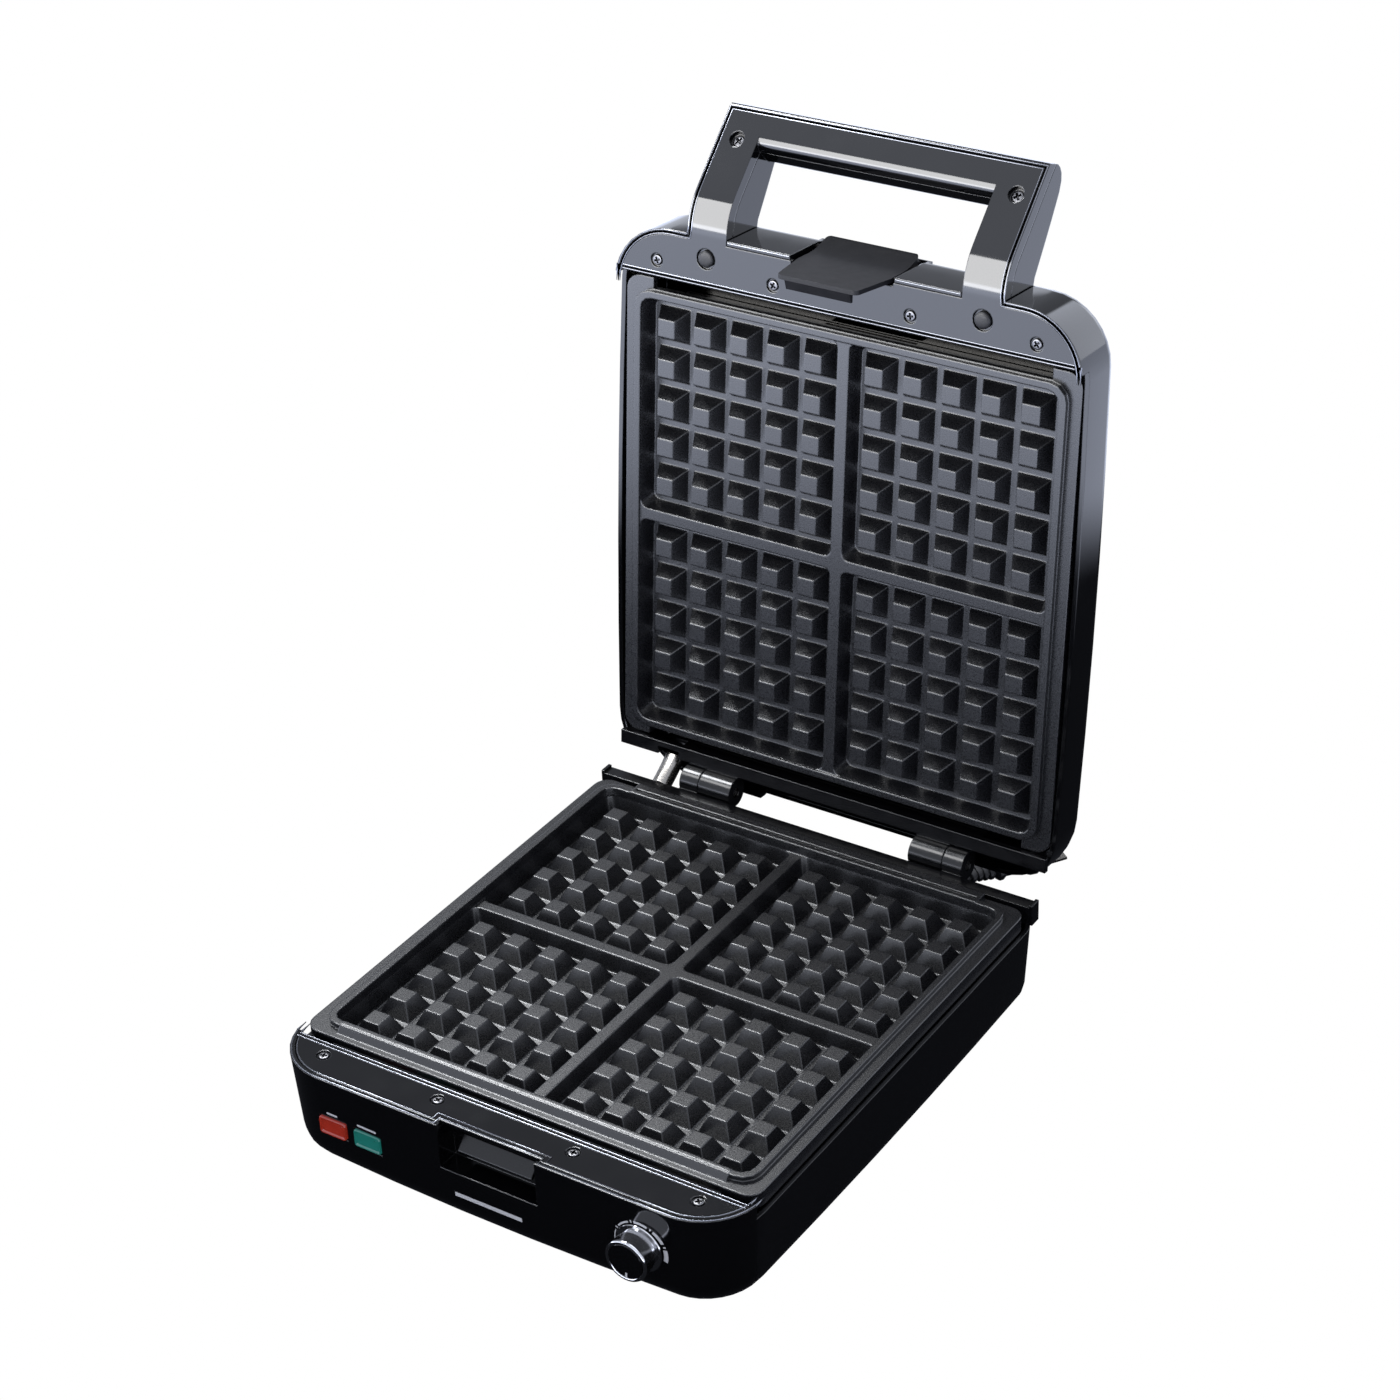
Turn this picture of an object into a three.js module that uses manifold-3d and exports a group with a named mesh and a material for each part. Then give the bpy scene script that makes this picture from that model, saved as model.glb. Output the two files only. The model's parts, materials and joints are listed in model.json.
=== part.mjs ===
// Belgian waffle maker with four square waffle beds, a hinged lid and a front latch.
// Millimetres, +Z up, +X to the right of a person standing in front, the front faces -Y.
// The lid is modelled shut and then turned open about its hinge axis.
import * as THREE from 'three';
import { mergeVertices } from 'three/addons/utils/BufferGeometryUtils.js';
import Module from 'manifold-3d';

const wasm = await Module();
wasm.setup();

// ---- Driving dimensions -------------------------------------------------------------------
const GAP = 0.3; // clearance between pieces that touch
const FRAME_CENTRE_Y = 35.52; // middle of the open object's depth, moved to the origin

// Waffle grid, the same in both plates.
const POST_PITCH = 21.4;
const POSTS_PER_SIDE = 5;
const POST_HEIGHT = 9;
const POST_TOP_HALF = 4.7;
const POST_BASE_HALF = 9.1;
const BED_WALL_SLOPE = 2.6; // how far a bed's walls lean out from its floor to its top
const DIVIDER_GAP = 34.4; // post centre to post centre across a dividing wall
const BED_MARGIN = 15.6; // outermost post centre to the edge of its bed
const PLATE_HALF_X = 127.8;
const PLATE_CORNER = 8;
const PLATE_HALF_Y = 127.5;
const PLATE_CENTRE_Y = 5.5;
const PLATE_THICKNESS = 3.5;
const RIM_WIDTH = 3;
const ELEMENT_DEPTH = 16.9; // from the post tops to the middle of the heating element
const BED_HALF = DIVIDER_GAP / 2 + (POSTS_PER_SIDE - 1) * POST_PITCH + BED_MARGIN;

// Heights above the table.
const FOOT_HEIGHT = 4;
const LOWER_TOPS = 57; // tops of the lower plate's posts
const UPPER_TOPS = 63.8; // tops of the upper plate's posts when shut
const BASE_TRIM_TOP = 57.5;
const BASE_SIDE_TOP = 49.7;
const LID_TRIM_FACE = 59.3;
const LID_SIDE_EDGE = 66;
const LID_REAR_EDGE = 82; // the rear wall stops short of the side walls
const LID_REAR_GAP = 88; // and shorter still between the hinges
const LID_TOP = 96;

// Housing walls.
const WALL = 2.4;
const BASE_FRONT = -150;
const BASE_REAR = 143;
const BASE_HALF_X = 130.5;
const FASCIA_BACK = -124;
const LID_FRONT = -151.5;
const LID_REAR = 161.2;
const LID_HALF_X = 130;
const TRIM_THICKNESS = 2.2;

// Hinge.
const HINGE_Y = 150.2;
const HINGE_Z = 62.2;
const LID_OPEN_DEGREES = 95.7;
const BARREL_RADIUS = 8;
const PIN_RADIUS = 2.5;
const LID_KNUCKLE_X = [54.2, 73.3];
const BASE_KNUCKLE_X = [73.9, 85];

// Controls.
const KNOB_X = 83.5;
const KNOB_Z = 33;
const KNOB_RADIUS = 11;
const KNOB_FACE_Y = -161.5;
const KNOB_BACK_Y = -149.9;
const LAMP_Z = 29.8;
const LAMP_HALF = [7.9, 4.9];
const POWER_LAMP_X = -91.5;
const READY_LAMP_X = -70.8;

// Handle: its inner face leaves the lid level, bends up through an arc and runs out straight.
const ARM_X = [65.5, 88];
const ARM_BEND_Y = -151;
const ARM_BEND_RADIUS = 34;
const ARM_SLOPE = THREE.MathUtils.degToRad(40.3);
const GRIP_START = 26.3; // from the end of the bend to the finger opening
const GRIP_DEPTH = 21;
const FRAME_LAYER = 6; // thickness of the inner half of the handle

// Latch.
const LATCH_AXIS_Y = -148.2;
const LATCH_AXIS_Z = 88;
const LATCH_HALF_X = 26;
const LATCH_TIP_HALF_X = 22.5;
const LATCH_TIP_Z = 36;
const RECESS_HALF_X = 27.5;
const RECESS_FLOOR_Z = 33;
const RECESS_BACK_Y = -138;
const BASE_NOTCH_Y = -145.6; // back of the base trim's notch, over the mouth of the recess

// Screws and bumpers.
const TRIM_SCREW_X = [-105.8, -38.3, 38.3, 105.8];
const TRIM_SCREW_Y = -134.2;
const HANDLE_SCREW_X = 77;
const HANDLE_SCREW_ALONG = 28.3; // from the end of the bend
const BUMPER_X = 77;
const BUMPER_Y = -140.1;

// Power cord: out of the gland, into a folded hank behind the base, and on to the plug.
const CORD_RADIUS = 3.5;
const GLAND = { x: 25, y: 142, z: 22, length: 21.7 };
const HANK = { x0: -115, x1: -45, yNear: 146, yFar: 194, low: 0.1, height: 14.3 };
const INLET_ROUTE = [
  [25, 164, 22], [24, 171.8, 21.6], [21, 179, 20.3], [16.2, 185.2, 18.3], [10, 190, 15.8], [2.8, 193, 13],
  [-5, 194, 10.2], [-15, 194, 7], [-25, 194, 4.8], [-35, 194, 3.7], [-45, 194, 3.6],
];
const PLUG_ROUTE = [
  [-45, 146, 10.8], [-36, 146, 10.8], [-27, 146, 10.7], [-17, 146, 10], [-7, 146, 8.8], [3.6, 146, 7.2],
  [13.6, 146, 5.8], [21.4, 147, 4.9], [28.6, 150, 4.2], [34.8, 154.8, 3.8], [39.6, 161, 3.6], [42.6, 168.2, 3.6],
  [43.6, 176, 3.6], [43.6, 186, 3.6], [43.6, 195.7, 3.7], [44.4, 202.4, 4.2], [46.6, 208.9, 5], [50, 214.2, 6],
];
const PLUG = { x: 50.5, y: 214.9, z: 6.1, turn: 52, tilt: 4 }; // degrees

// ---- Colours ------------------------------------------------------------------------------
const COLOURS = {
  satin_black: [0x141416, 0.45, 0],
  gloss_black: [0x0c0d10, 0.18, 0],
  nonstick: [0x2a2a2e, 0.42, 0.35],
  chrome: [0xd8d9dc, 0.12, 1],
  steel: [0xb9b6b0, 0.3, 1],
  red_lens: [0xb5311f, 0.2, 0],
  green_lens: [0x2a8c80, 0.2, 0],
  rubber: [0x2b2b2d, 0.8, 0],
  dark_metal: [0x3a3b3e, 0.4, 0.8],
  ceramic: [0xd9d2c4, 0.7, 0],
};

// ---- Solid helpers ------------------------------------------------------------------------
function solid(geometry) {
  const bare = geometry.clone();
  bare.deleteAttribute('normal');
  bare.deleteAttribute('uv');
  const merged = mergeVertices(bare, 1e-4);
  const corners = Array.from(merged.index.array);
  const kept = [];
  for (let i = 0; i < corners.length; i += 3) {
    const [a, b, c] = corners.slice(i, i + 3);
    if (a !== b && b !== c && c !== a) {
      kept.push(a, b, c);
    }
  }
  const vertProperties = new Float32Array(merged.attributes.position.array);
  const triVerts = Uint32Array.from(kept);
  return new wasm.Manifold(new wasm.Mesh({ numProp: 3, vertProperties, triVerts }));
}

function geometryOf(body) {
  const mesh = body.getMesh();
  const geometry = new THREE.BufferGeometry();
  geometry.setAttribute('position', new THREE.Float32BufferAttribute(mesh.vertProperties, 3));
  geometry.setIndex(new THREE.BufferAttribute(mesh.triVerts, 1));
  geometry.computeVertexNormals();
  return geometry;
}

function join(parts) {
  return parts.reduce((sum, part) => sum.add(part));
}

function cut(body, tools) {
  return tools.reduce((rest, tool) => rest.subtract(tool), body);
}

function box([x0, x1], [y0, y1], [z0, z1]) {
  const geometry = new THREE.BoxGeometry(x1 - x0, y1 - y0, z1 - z0);
  geometry.translate((x0 + x1) / 2, (y0 + y1) / 2, (z0 + z1) / 2);
  return solid(geometry);
}

// A cylinder between two points.
function rod(from, to, radius, endRadius = radius, sides = 16) {
  const start = new THREE.Vector3(...from);
  const end = new THREE.Vector3(...to);
  const length = start.distanceTo(end);
  const geometry = new THREE.CylinderGeometry(endRadius, radius, length, sides);
  const along = end.clone().sub(start).normalize();
  geometry.applyQuaternion(new THREE.Quaternion().setFromUnitVectors(new THREE.Vector3(0, 1, 0), along));
  const middle = start.add(end).multiplyScalar(0.5);
  geometry.translate(middle.x, middle.y, middle.z);
  return solid(geometry);
}

// An outline in X and Y, raised from z0 to z1.
function slab(points, [z0, z1]) {
  const geometry = new THREE.ExtrudeGeometry(new THREE.Shape(points), { depth: z1 - z0, bevelEnabled: false });
  geometry.translate(0, 0, z0);
  return solid(geometry);
}

// A side profile in Y and Z, drawn out from x0 to x1.
function sideways(points, [x0, x1]) {
  const geometry = new THREE.ExtrudeGeometry(new THREE.Shape(points), { depth: x1 - x0, bevelEnabled: false });
  const axes = new THREE.Matrix4().set(0, 0, 1, x0, 1, 0, 0, 0, 0, 1, 0, 0, 0, 0, 0, 1);
  return solid(geometry.applyMatrix4(axes));
}

// A closed skin through level outlines that all have the same number of points.
function loft(levels) {
  const count = levels[0].points.length;
  const positions = levels.flatMap(({ points, z }) => points.flatMap((p) => [p.x, p.y, z]));
  const faces = [];
  for (let level = 0; level < levels.length - 1; level += 1) {
    for (let i = 0; i < count; i += 1) {
      const a = level * count + i;
      const b = level * count + ((i + 1) % count);
      faces.push(a, b, b + count);
      faces.push(a, b + count, a + count);
    }
  }
  const last = (levels.length - 1) * count;
  for (const [a, b, c] of THREE.ShapeUtils.triangulateShape(levels[0].points, [])) {
    faces.push(a, c, b);
  }
  for (const [a, b, c] of THREE.ShapeUtils.triangulateShape(levels[levels.length - 1].points, [])) {
    faces.push(last + a, last + b, last + c);
  }
  const geometry = new THREE.BufferGeometry();
  geometry.setAttribute('position', new THREE.Float32BufferAttribute(positions, 3));
  geometry.setIndex(faces);
  return solid(geometry);
}

function tubeAlong(points, radius, sides, steps) {
  const curve = new THREE.CatmullRomCurve3(points.map((p) => new THREE.Vector3(...p)), false, 'centripetal');
  const ring = [];
  for (let i = 0; i < sides; i += 1) {
    const turn = (2 * Math.PI * i) / sides;
    ring.push(new THREE.Vector2(radius * Math.cos(turn), radius * Math.sin(turn)));
  }
  const geometry = new THREE.ExtrudeGeometry(new THREE.Shape(ring), { steps, extrudePath: curve, bevelEnabled: false });
  return solid(geometry);
}

// ---- Outlines -----------------------------------------------------------------------------
function arc(centreX, centreY, radius, fromDegrees, toDegrees, steps) {
  const points = [];
  for (let i = 0; i <= steps; i += 1) {
    const turn = THREE.MathUtils.degToRad(fromDegrees + ((toDegrees - fromDegrees) * i) / steps);
    points.push(new THREE.Vector2(centreX + radius * Math.cos(turn), centreY + radius * Math.sin(turn)));
  }
  return points;
}

// A rounded rectangle, anticlockwise, whose sides can bow outwards.
function outline({ half, front, rear, frontRadius, rearRadius, sideBow = 0, frontBow = 0, steps = 8, sidePoints = 4 }) {
  const corners = [
    arc(half - rearRadius, rear - rearRadius, rearRadius, 0, 90, steps),
    arc(rearRadius - half, rear - rearRadius, rearRadius, 90, 180, steps),
    arc(frontRadius - half, front + frontRadius, frontRadius, 180, 270, steps),
    arc(half - frontRadius, front + frontRadius, frontRadius, 270, 360, steps),
  ];
  const points = corners.flatMap((corner, i) => {
    const start = corner[corner.length - 1];
    const end = corners[(i + 1) % 4][0];
    const between = [];
    for (let k = 1; k <= sidePoints; k += 1) {
      between.push(start.clone().lerp(end, k / (sidePoints + 1)));
    }
    return [...corner, ...between];
  });
  const middle = (front + rear) / 2;
  const halfDepth = (rear - front) / 2;
  return points.map((p) => {
    const along = (p.y - middle) / halfDepth;
    const across = p.x / half;
    const x = p.x + sideBow * (1 - along ** 2) * across;
    const y = p.y - frontBow * (1 - across ** 2) * Math.max(0, -along);
    return new THREE.Vector2(x, y);
  });
}

function panel(half, front, rear, radius, steps = 5) {
  return outline({ half, front, rear, frontRadius: radius, rearRadius: radius, steps, sidePoints: 0 });
}

// The base tapers in and bows out towards the bottom.
function baseOutline(z, inset) {
  const down = (BASE_TRIM_TOP - z) / (BASE_TRIM_TOP - FOOT_HEIGHT);
  return outline({
    half: BASE_HALF_X - 3.2 * down - inset,
    front: BASE_FRONT + 4.5 * down + inset,
    rear: BASE_REAR - 2 * down - inset,
    frontRadius: 32 - 4 * down - inset,
    rearRadius: 14 - inset,
    sideBow: 2.3 * down,
    frontBow: 4.4 * down,
  });
}

function lidOutline(z, inset) {
  return outline({
    half: LID_HALF_X - inset,
    front: LID_FRONT + inset,
    rear: LID_REAR - inset,
    frontRadius: 32 - inset,
    rearRadius: 39 - inset,
    sideBow: 2.8,
  });
}

// A block with a rounded edge all round its closed end, at z = closed.
function roundedBlock(outlineAt, closed, open, radius, inset) {
  const levels = [];
  const side = Math.sign(open - closed);
  const steps = 4;
  for (let i = 0; i <= steps; i += 1) {
    const turn = (Math.PI / 2) * (i / steps);
    const z = closed + side * radius * (1 - Math.cos(turn));
    levels.push({ z, points: outlineAt(z, inset + radius * (1 - Math.sin(turn))) });
  }
  levels.push({ z: open, points: outlineAt(open, inset) });
  return loft(side > 0 ? levels : levels.reverse());
}

// ---- Pieces -------------------------------------------------------------------------------
const TALL = 400; // longer than the object, for cutting tools

function baseShell() {
  const edge = 12;
  const outer = roundedBlock(baseOutline, FOOT_HEIGHT, BASE_TRIM_TOP, edge, 0);
  const inner = roundedBlock(baseOutline, FOOT_HEIGHT + WALL, BASE_TRIM_TOP + WALL, edge - WALL, WALL);
  return outer.subtract(inner);
}

function screwBoss(x, y, [z0, z1], side) {
  const boss = rod([x, y, z0], [x, y, z1], 4, 4, 10);
  const hole = rod([x, y, side > 0 ? z1 - 12 : z0 - 1], [x, y, side > 0 ? z1 + 1 : z0 + 12], 2, 2, 8);
  return boss.subtract(hole);
}

function baseHousing() {
  const behindFascia = box([-TALL, TALL], [FASCIA_BACK + GAP, TALL], [-TALL, BASE_SIDE_TOP]);
  const plugHole = rod([GLAND.x, BASE_REAR - 9, GLAND.z], [GLAND.x, BASE_REAR + 9, GLAND.z], 7.5);
  return baseShell().intersect(behindFascia).subtract(plugHole);
}

function frontFascia() {
  const ahead = box([-TALL, TALL], [-TALL, FASCIA_BACK], [-TALL, TALL]);
  const wall = 2;
  const linerTop = BASE_TRIM_TOP - TRIM_THICKNESS - GAP;
  const liner = box(
    [-RECESS_HALF_X - wall, RECESS_HALF_X + wall],
    [-148.6, RECESS_BACK_Y + wall],
    [RECESS_FLOOR_Z - wall, linerTop],
  );
  const mouth = box([-RECESS_HALF_X, RECESS_HALF_X], [-TALL, RECESS_BACK_Y], [RECESS_FLOOR_Z, TALL]);
  const windows = [POWER_LAMP_X, READY_LAMP_X].map((x) => box(
    [x - LAMP_HALF[0] - GAP, x + LAMP_HALF[0] + GAP],
    [-TALL, -140],
    [LAMP_Z - LAMP_HALF[1] - GAP, LAMP_Z + LAMP_HALF[1] + GAP],
  ));
  const shaftHole = rod([KNOB_X, -TALL / 2, KNOB_Z], [KNOB_X, -135, KNOB_Z], 4);
  const bosses = TRIM_SCREW_X.map((x) => screwBoss(x, TRIM_SCREW_Y, [FOOT_HEIGHT + 1, linerTop], 1));
  const shell = join([baseShell().intersect(ahead), liner, ...bosses]);
  return cut(shell, [mouth, ...windows, shaftHole]);
}

// Both front trims: a flat strip with rounded front corners, notched for the latch.
function trimStrip(outlineAt, [z0, z1], back, notchBack) {
  const points = outlineAt(z0, WALL + GAP);
  const strip = slab(points, [z0, z1]).intersect(box([-TALL, TALL], [-TALL, back], [z0, z1]));
  return strip.subtract(box([-RECESS_HALF_X - 1, RECESS_HALF_X + 1], [-TALL, notchBack], [-TALL, TALL]));
}

function screwHoles([z0, z1], headAt) {
  return TRIM_SCREW_X.flatMap((x) => [
    rod([x, TRIM_SCREW_Y, z0 - 1], [x, TRIM_SCREW_Y, z1 + 1], 2, 2, 10),
    rod([x, TRIM_SCREW_Y, headAt], [x, TRIM_SCREW_Y, headAt + 3], 3.6, 3.6, 16),
  ]);
}

function baseTrim() {
  const levels = [BASE_TRIM_TOP - TRIM_THICKNESS, BASE_TRIM_TOP];
  const strip = trimStrip(baseOutline, levels, -125, BASE_NOTCH_Y);
  return cut(strip, screwHoles(levels, BASE_TRIM_TOP - 1.3));
}

// A screw with its head at z and its shank running on in the direction of side.
function trimScrew(x, z, side) {
  const head = rod([x, TRIM_SCREW_Y, z], [x, TRIM_SCREW_Y, z + side * 1.2], 3.3, 3.3, 16);
  const shank = rod([x, TRIM_SCREW_Y, z + side], [x, TRIM_SCREW_Y, z + side * 9], 1.6, 1.6, 8);
  return head.add(shank);
}

function latchCatch() {
  const back = RECESS_BACK_Y - GAP;
  const points = [[back, 40.6], [back, 48], [-144.4, 41.8], [-144.4, 40.6]];
  return sideways(points.map(([y, z]) => new THREE.Vector2(y, z)), [-21, 21]);
}

// Tapered square, from a half width at z0 to another at z1.
function pyramid(x, y, [half0, z0], [half1, z1], radius = 0) {
  const square = (half) => (radius
    ? panel(half, -half, half, radius, 3)
    : [[half, -half], [half, half], [-half, half], [-half, -half]].map(([a, b]) => new THREE.Vector2(a, b)));
  const at = (half, z) => ({ z, points: square(half).map((p) => new THREE.Vector2(p.x + x, p.y + y)) });
  return loft([at(half0, z0), at(half1, z1)]);
}

// A waffle plate with its post tops at z = 0, facing up, centred on x = y = 0: a flange with a
// turned-down skirt, and a bowl whose rim stands above the flange.
function wafflePlate({ rim, margin, added = [], removed = [] }) {
  const floor = -POST_HEIGHT;
  const underside = floor - PLATE_THICKNESS;
  const skirt = 2.5;
  const sheet = (inset) => panel(PLATE_HALF_X - inset, inset - PLATE_HALF_Y, PLATE_HALF_Y - inset, PLATE_CORNER - inset);
  const flange = slab(sheet(0), [margin - PLATE_THICKNESS, margin]);
  const skirtOuter = slab(sheet(0), [margin - 8, margin - 1]);
  const skirtInner = slab(sheet(skirt), [margin - 9, margin]);
  const bowl = pyramid(0, 0, [BED_HALF + 1, underside], [BED_HALF + RIM_WIDTH, rim], 9);
  const opening = pyramid(0, 0, [BED_HALF - 1, 0], [BED_HALF, rim + 3], 6.5);
  const body = cut(join([flange, skirtOuter.subtract(skirtInner), bowl, ...added]), removed);
  let plate = body.subtract(opening);
  const dividerHalf = 3;
  const bedTop = (BED_HALF - 1 - dividerHalf) / 2;
  const bedCentre = dividerHalf + bedTop;
  const places = [-bedCentre, bedCentre];
  for (const x of places) {
    for (const y of places) {
      const bed = pyramid(x, y, [bedTop - BED_WALL_SLOPE, floor], [bedTop, 0.1], 4);
      plate = plate.subtract(bed);
    }
  }
  const posts = [];
  for (const sideX of [-1, 1]) {
    for (const sideY of [-1, 1]) {
      for (let i = 0; i < POSTS_PER_SIDE; i += 1) {
        for (let j = 0; j < POSTS_PER_SIDE; j += 1) {
          const x = sideX * (DIVIDER_GAP / 2 + i * POST_PITCH);
          const y = sideY * (DIVIDER_GAP / 2 + j * POST_PITCH);
          posts.push(pyramid(x, y, [POST_BASE_HALF + 0.1, floor - 0.5], [POST_TOP_HALF, 0]));
        }
      }
    }
  }
  return join([plate, ...posts]);
}

// The lower plate has a sloping lip along its front and a raised, grooved band along its rear.
function lowerPlate() {
  const rim = 4.7;
  const margin = 1.8;
  const bandTop = 5.1;
  const lipReach = 110;
  const bandReach = 104;
  const lip = sideways(
    [[5 - BED_HALF, bandTop], [5 - BED_HALF, margin - 6], [-PLATE_HALF_Y - 0.6, margin - 6],
      [-PLATE_HALF_Y - 0.6, margin - 4], [-BED_HALF - 3.4, bandTop - 1], [-BED_HALF - 1.8, bandTop]]
      .map(([y, z]) => new THREE.Vector2(y, z)),
    [-lipReach, lipReach],
  );
  const band = box([-bandReach, bandReach], [BED_HALF - 5, PLATE_HALF_Y], [margin - 1, bandTop]);
  const groove = box([-bandReach + 2, bandReach - 2], [BED_HALF + 2.4, BED_HALF + 4], [bandTop - 1.3, bandTop + 1]);
  return wafflePlate({ rim, margin, added: [lip, band], removed: [groove] });
}

// The upper plate's flange is cut away in front of the beds and behind them.
function upperPlate() {
  const reach = 112;
  const removed = [-1, 1].map((side) => box(
    [-reach, reach],
    side > 0 ? [BED_HALF + RIM_WIDTH + 0.3, TALL] : [-TALL, -BED_HALF - RIM_WIDTH - 0.3],
    [-TALL, TALL],
  ));
  return wafflePlate({ rim: 1.4, margin: -2.2, removed });
}

// Heating element: one loop with both ends at the back, lying flat at z = 0.
function heatingElement() {
  const reach = 86;
  const ends = 16;
  const route = [
    [-ends, 111], [-ends, 98], [-ends - 12, reach], [-reach + 14, reach], [-reach, reach - 14],
    [-reach, 0], [-reach, 14 - reach], [14 - reach, -reach], [0, -reach], [reach - 14, -reach],
    [reach, 14 - reach], [reach, 0], [reach, reach - 14], [reach - 14, reach], [ends + 12, reach],
    [ends, 98], [ends, 111],
  ];
  return tubeAlong(route.map(([x, y]) => [x, y, 0]), 3.3, 6, 56);
}

// Shallow heat shield with its floor from z = 0 to 1.2 and walls standing up.
function reflector(height) {
  const outer = slab(panel(118, -114, 114, 12, 3), [0, height]);
  const inner = slab(panel(116.8, -112.8, 112.8, 11, 3), [1.2, height + 1]);
  const notch = box([-26, 26], [105, 120], [1.2, TALL]);
  return cut(outer, [inner, notch]);
}

function baseHingeBridge() {
  const bar = box([-129.8, 129.8], [134.6, 141.6], [BASE_SIDE_TOP + GAP, 60.2]);
  const tabs = [-1, 1].map((side) => box(
    side > 0 ? [128, 129.8] : [-129.8, -128],
    [134.6, 141.6],
    [60, 61.6],
  ));
  const knuckles = [-1, 1].flatMap((side) => {
    const span = side > 0 ? BASE_KNUCKLE_X : [-BASE_KNUCKLE_X[1], -BASE_KNUCKLE_X[0]];
    return [
      rod([span[0], HINGE_Y, HINGE_Z], [span[1], HINGE_Y, HINGE_Z], BARREL_RADIUS, BARREL_RADIUS, 20),
      box(span, [138, HINGE_Y], [HINGE_Z - BARREL_RADIUS + 0.4, 60.2]),
    ];
  });
  return join([bar, ...tabs, ...knuckles]).subtract(hingeBore());
}

function hingeBore() {
  return rod([-TALL, HINGE_Y, HINGE_Z], [TALL, HINGE_Y, HINGE_Z], PIN_RADIUS + 0.4);
}

function hingePin(side) {
  const ends = [LID_KNUCKLE_X[0] + 1, BASE_KNUCKLE_X[1] - 0.5].map((x) => [side * x, HINGE_Y, HINGE_Z]);
  return rod(ends[0], ends[1], PIN_RADIUS);
}

function lidHingeBridge() {
  const bar = box([-127.8, 127.8], [133.8, 141.4], [62.5, 65.6]);
  const body = box([-90, 90], [133.8, 141.4], [65, 72]);
  const innerWall = box([-110, 110], [139.4, 141.4], [65, 92.6]);
  const knuckles = [-1, 1].flatMap((side) => {
    const span = side > 0 ? LID_KNUCKLE_X : [-LID_KNUCKLE_X[1], -LID_KNUCKLE_X[0]];
    return [
      rod([span[0], HINGE_Y, HINGE_Z], [span[1], HINGE_Y, HINGE_Z], BARREL_RADIUS, BARREL_RADIUS, 20),
      box(span, [138, HINGE_Y], [HINGE_Z + 0.8, HINGE_Z + BARREL_RADIUS - 0.4]),
    ];
  });
  const sleeveHole = box([-104, -91], [137, 150], [61, 80]);
  return cut(join([bar, body, innerWall, ...knuckles]), [hingeBore(), sleeveHole]);
}

function lidShell() {
  const edge = 10;
  const outer = roundedBlock(lidOutline, LID_TOP, LID_TRIM_FACE, edge, 0);
  const inner = roundedBlock(lidOutline, LID_TOP - WALL, LID_TRIM_FACE - WALL, edge - WALL, WALL);
  const openSides = box([-TALL, TALL], [FASCIA_BACK, TALL], [0, LID_SIDE_EDGE]);
  const rearEdge = [[140, 0], [140, LID_SIDE_EDGE], [150, LID_REAR_EDGE], [TALL, LID_REAR_EDGE], [TALL, 0]];
  const openRear = sideways(rearEdge.map(([y, z]) => new THREE.Vector2(y, z)), [-TALL, TALL]);
  const hingeGap = box([-51, 51], [145, TALL], [0, LID_REAR_GAP]);
  const armNotches = [-1, 1].map((side) => {
    const span = side > 0 ? ARM_X : [-ARM_X[1], -ARM_X[0]];
    return box([span[0] - 0.6, span[1] + 0.6], [-TALL, -144], [0, 89]);
  });
  const wall = 2;
  const cheek = RECESS_HALF_X + 1.5;
  const recessBlock = box([-cheek - wall, cheek + wall], [-150.8, -142.4], [LID_TRIM_FACE + 3, 93]);
  const recess = box([-cheek, cheek], [-TALL, -144.4], [0, 92]);
  const pinHole = rod([-cheek - 1.4, LATCH_AXIS_Y, LATCH_AXIS_Z], [cheek + 1.4, LATCH_AXIS_Y, LATCH_AXIS_Z], 1.6);
  const bossBottom = LID_TRIM_FACE + TRIM_THICKNESS + GAP;
  const bosses = TRIM_SCREW_X.map((x) => screwBoss(x, TRIM_SCREW_Y, [bossBottom, LID_TOP - 1], -1));
  const shell = join([outer.subtract(inner), recessBlock, ...bosses]);
  return cut(shell, [openSides, openRear, hingeGap, ...armNotches, recess, pinHole]);
}

function lidTopPanel() {
  const points = panel(112, -128, 134, 22);
  return slab(points, [LID_TOP + GAP, LID_TOP + GAP + 1]);
}

// Place on the handle: distance along the sloping inner face from the end of the bend, and depth.
function handlePoint(along, depth) {
  const bendEndY = ARM_BEND_Y - ARM_BEND_RADIUS * Math.sin(ARM_SLOPE);
  const bendEndZ = LID_TRIM_FACE + ARM_BEND_RADIUS * (1 - Math.cos(ARM_SLOPE));
  const y = bendEndY - along * Math.cos(ARM_SLOPE) + depth * Math.sin(ARM_SLOPE);
  const z = bendEndZ + along * Math.sin(ARM_SLOPE) + depth * Math.cos(ARM_SLOPE);
  return new THREE.Vector2(y, z);
}

// The inner face of an arm, offset by depth: level, then the bend.
function bendPoints(depth) {
  const steps = 8;
  const points = [new THREE.Vector2(-141, LID_TRIM_FACE + depth)];
  for (let i = 0; i <= steps; i += 1) {
    const turn = (ARM_SLOPE * i) / steps;
    const radius = ARM_BEND_RADIUS - depth;
    const y = ARM_BEND_Y - radius * Math.sin(turn);
    const z = LID_TRIM_FACE + ARM_BEND_RADIUS - radius * Math.cos(turn);
    points.push(new THREE.Vector2(y, z));
  }
  return points;
}

function outerEdge() {
  return [[45.6, 0], [46.8, 0.9], [50, 8], [50, 11], [48.8, 14.4], [46, 17.3], [41, 19.6], [28, 22.6], [14, 25.4], [0, 28]]
    .map(([along, depth]) => handlePoint(along, depth));
}

function armProfile() {
  return [...bendPoints(0), ...outerEdge(), new THREE.Vector2(-148, 87.4), new THREE.Vector2(-141, 88)];
}

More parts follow.
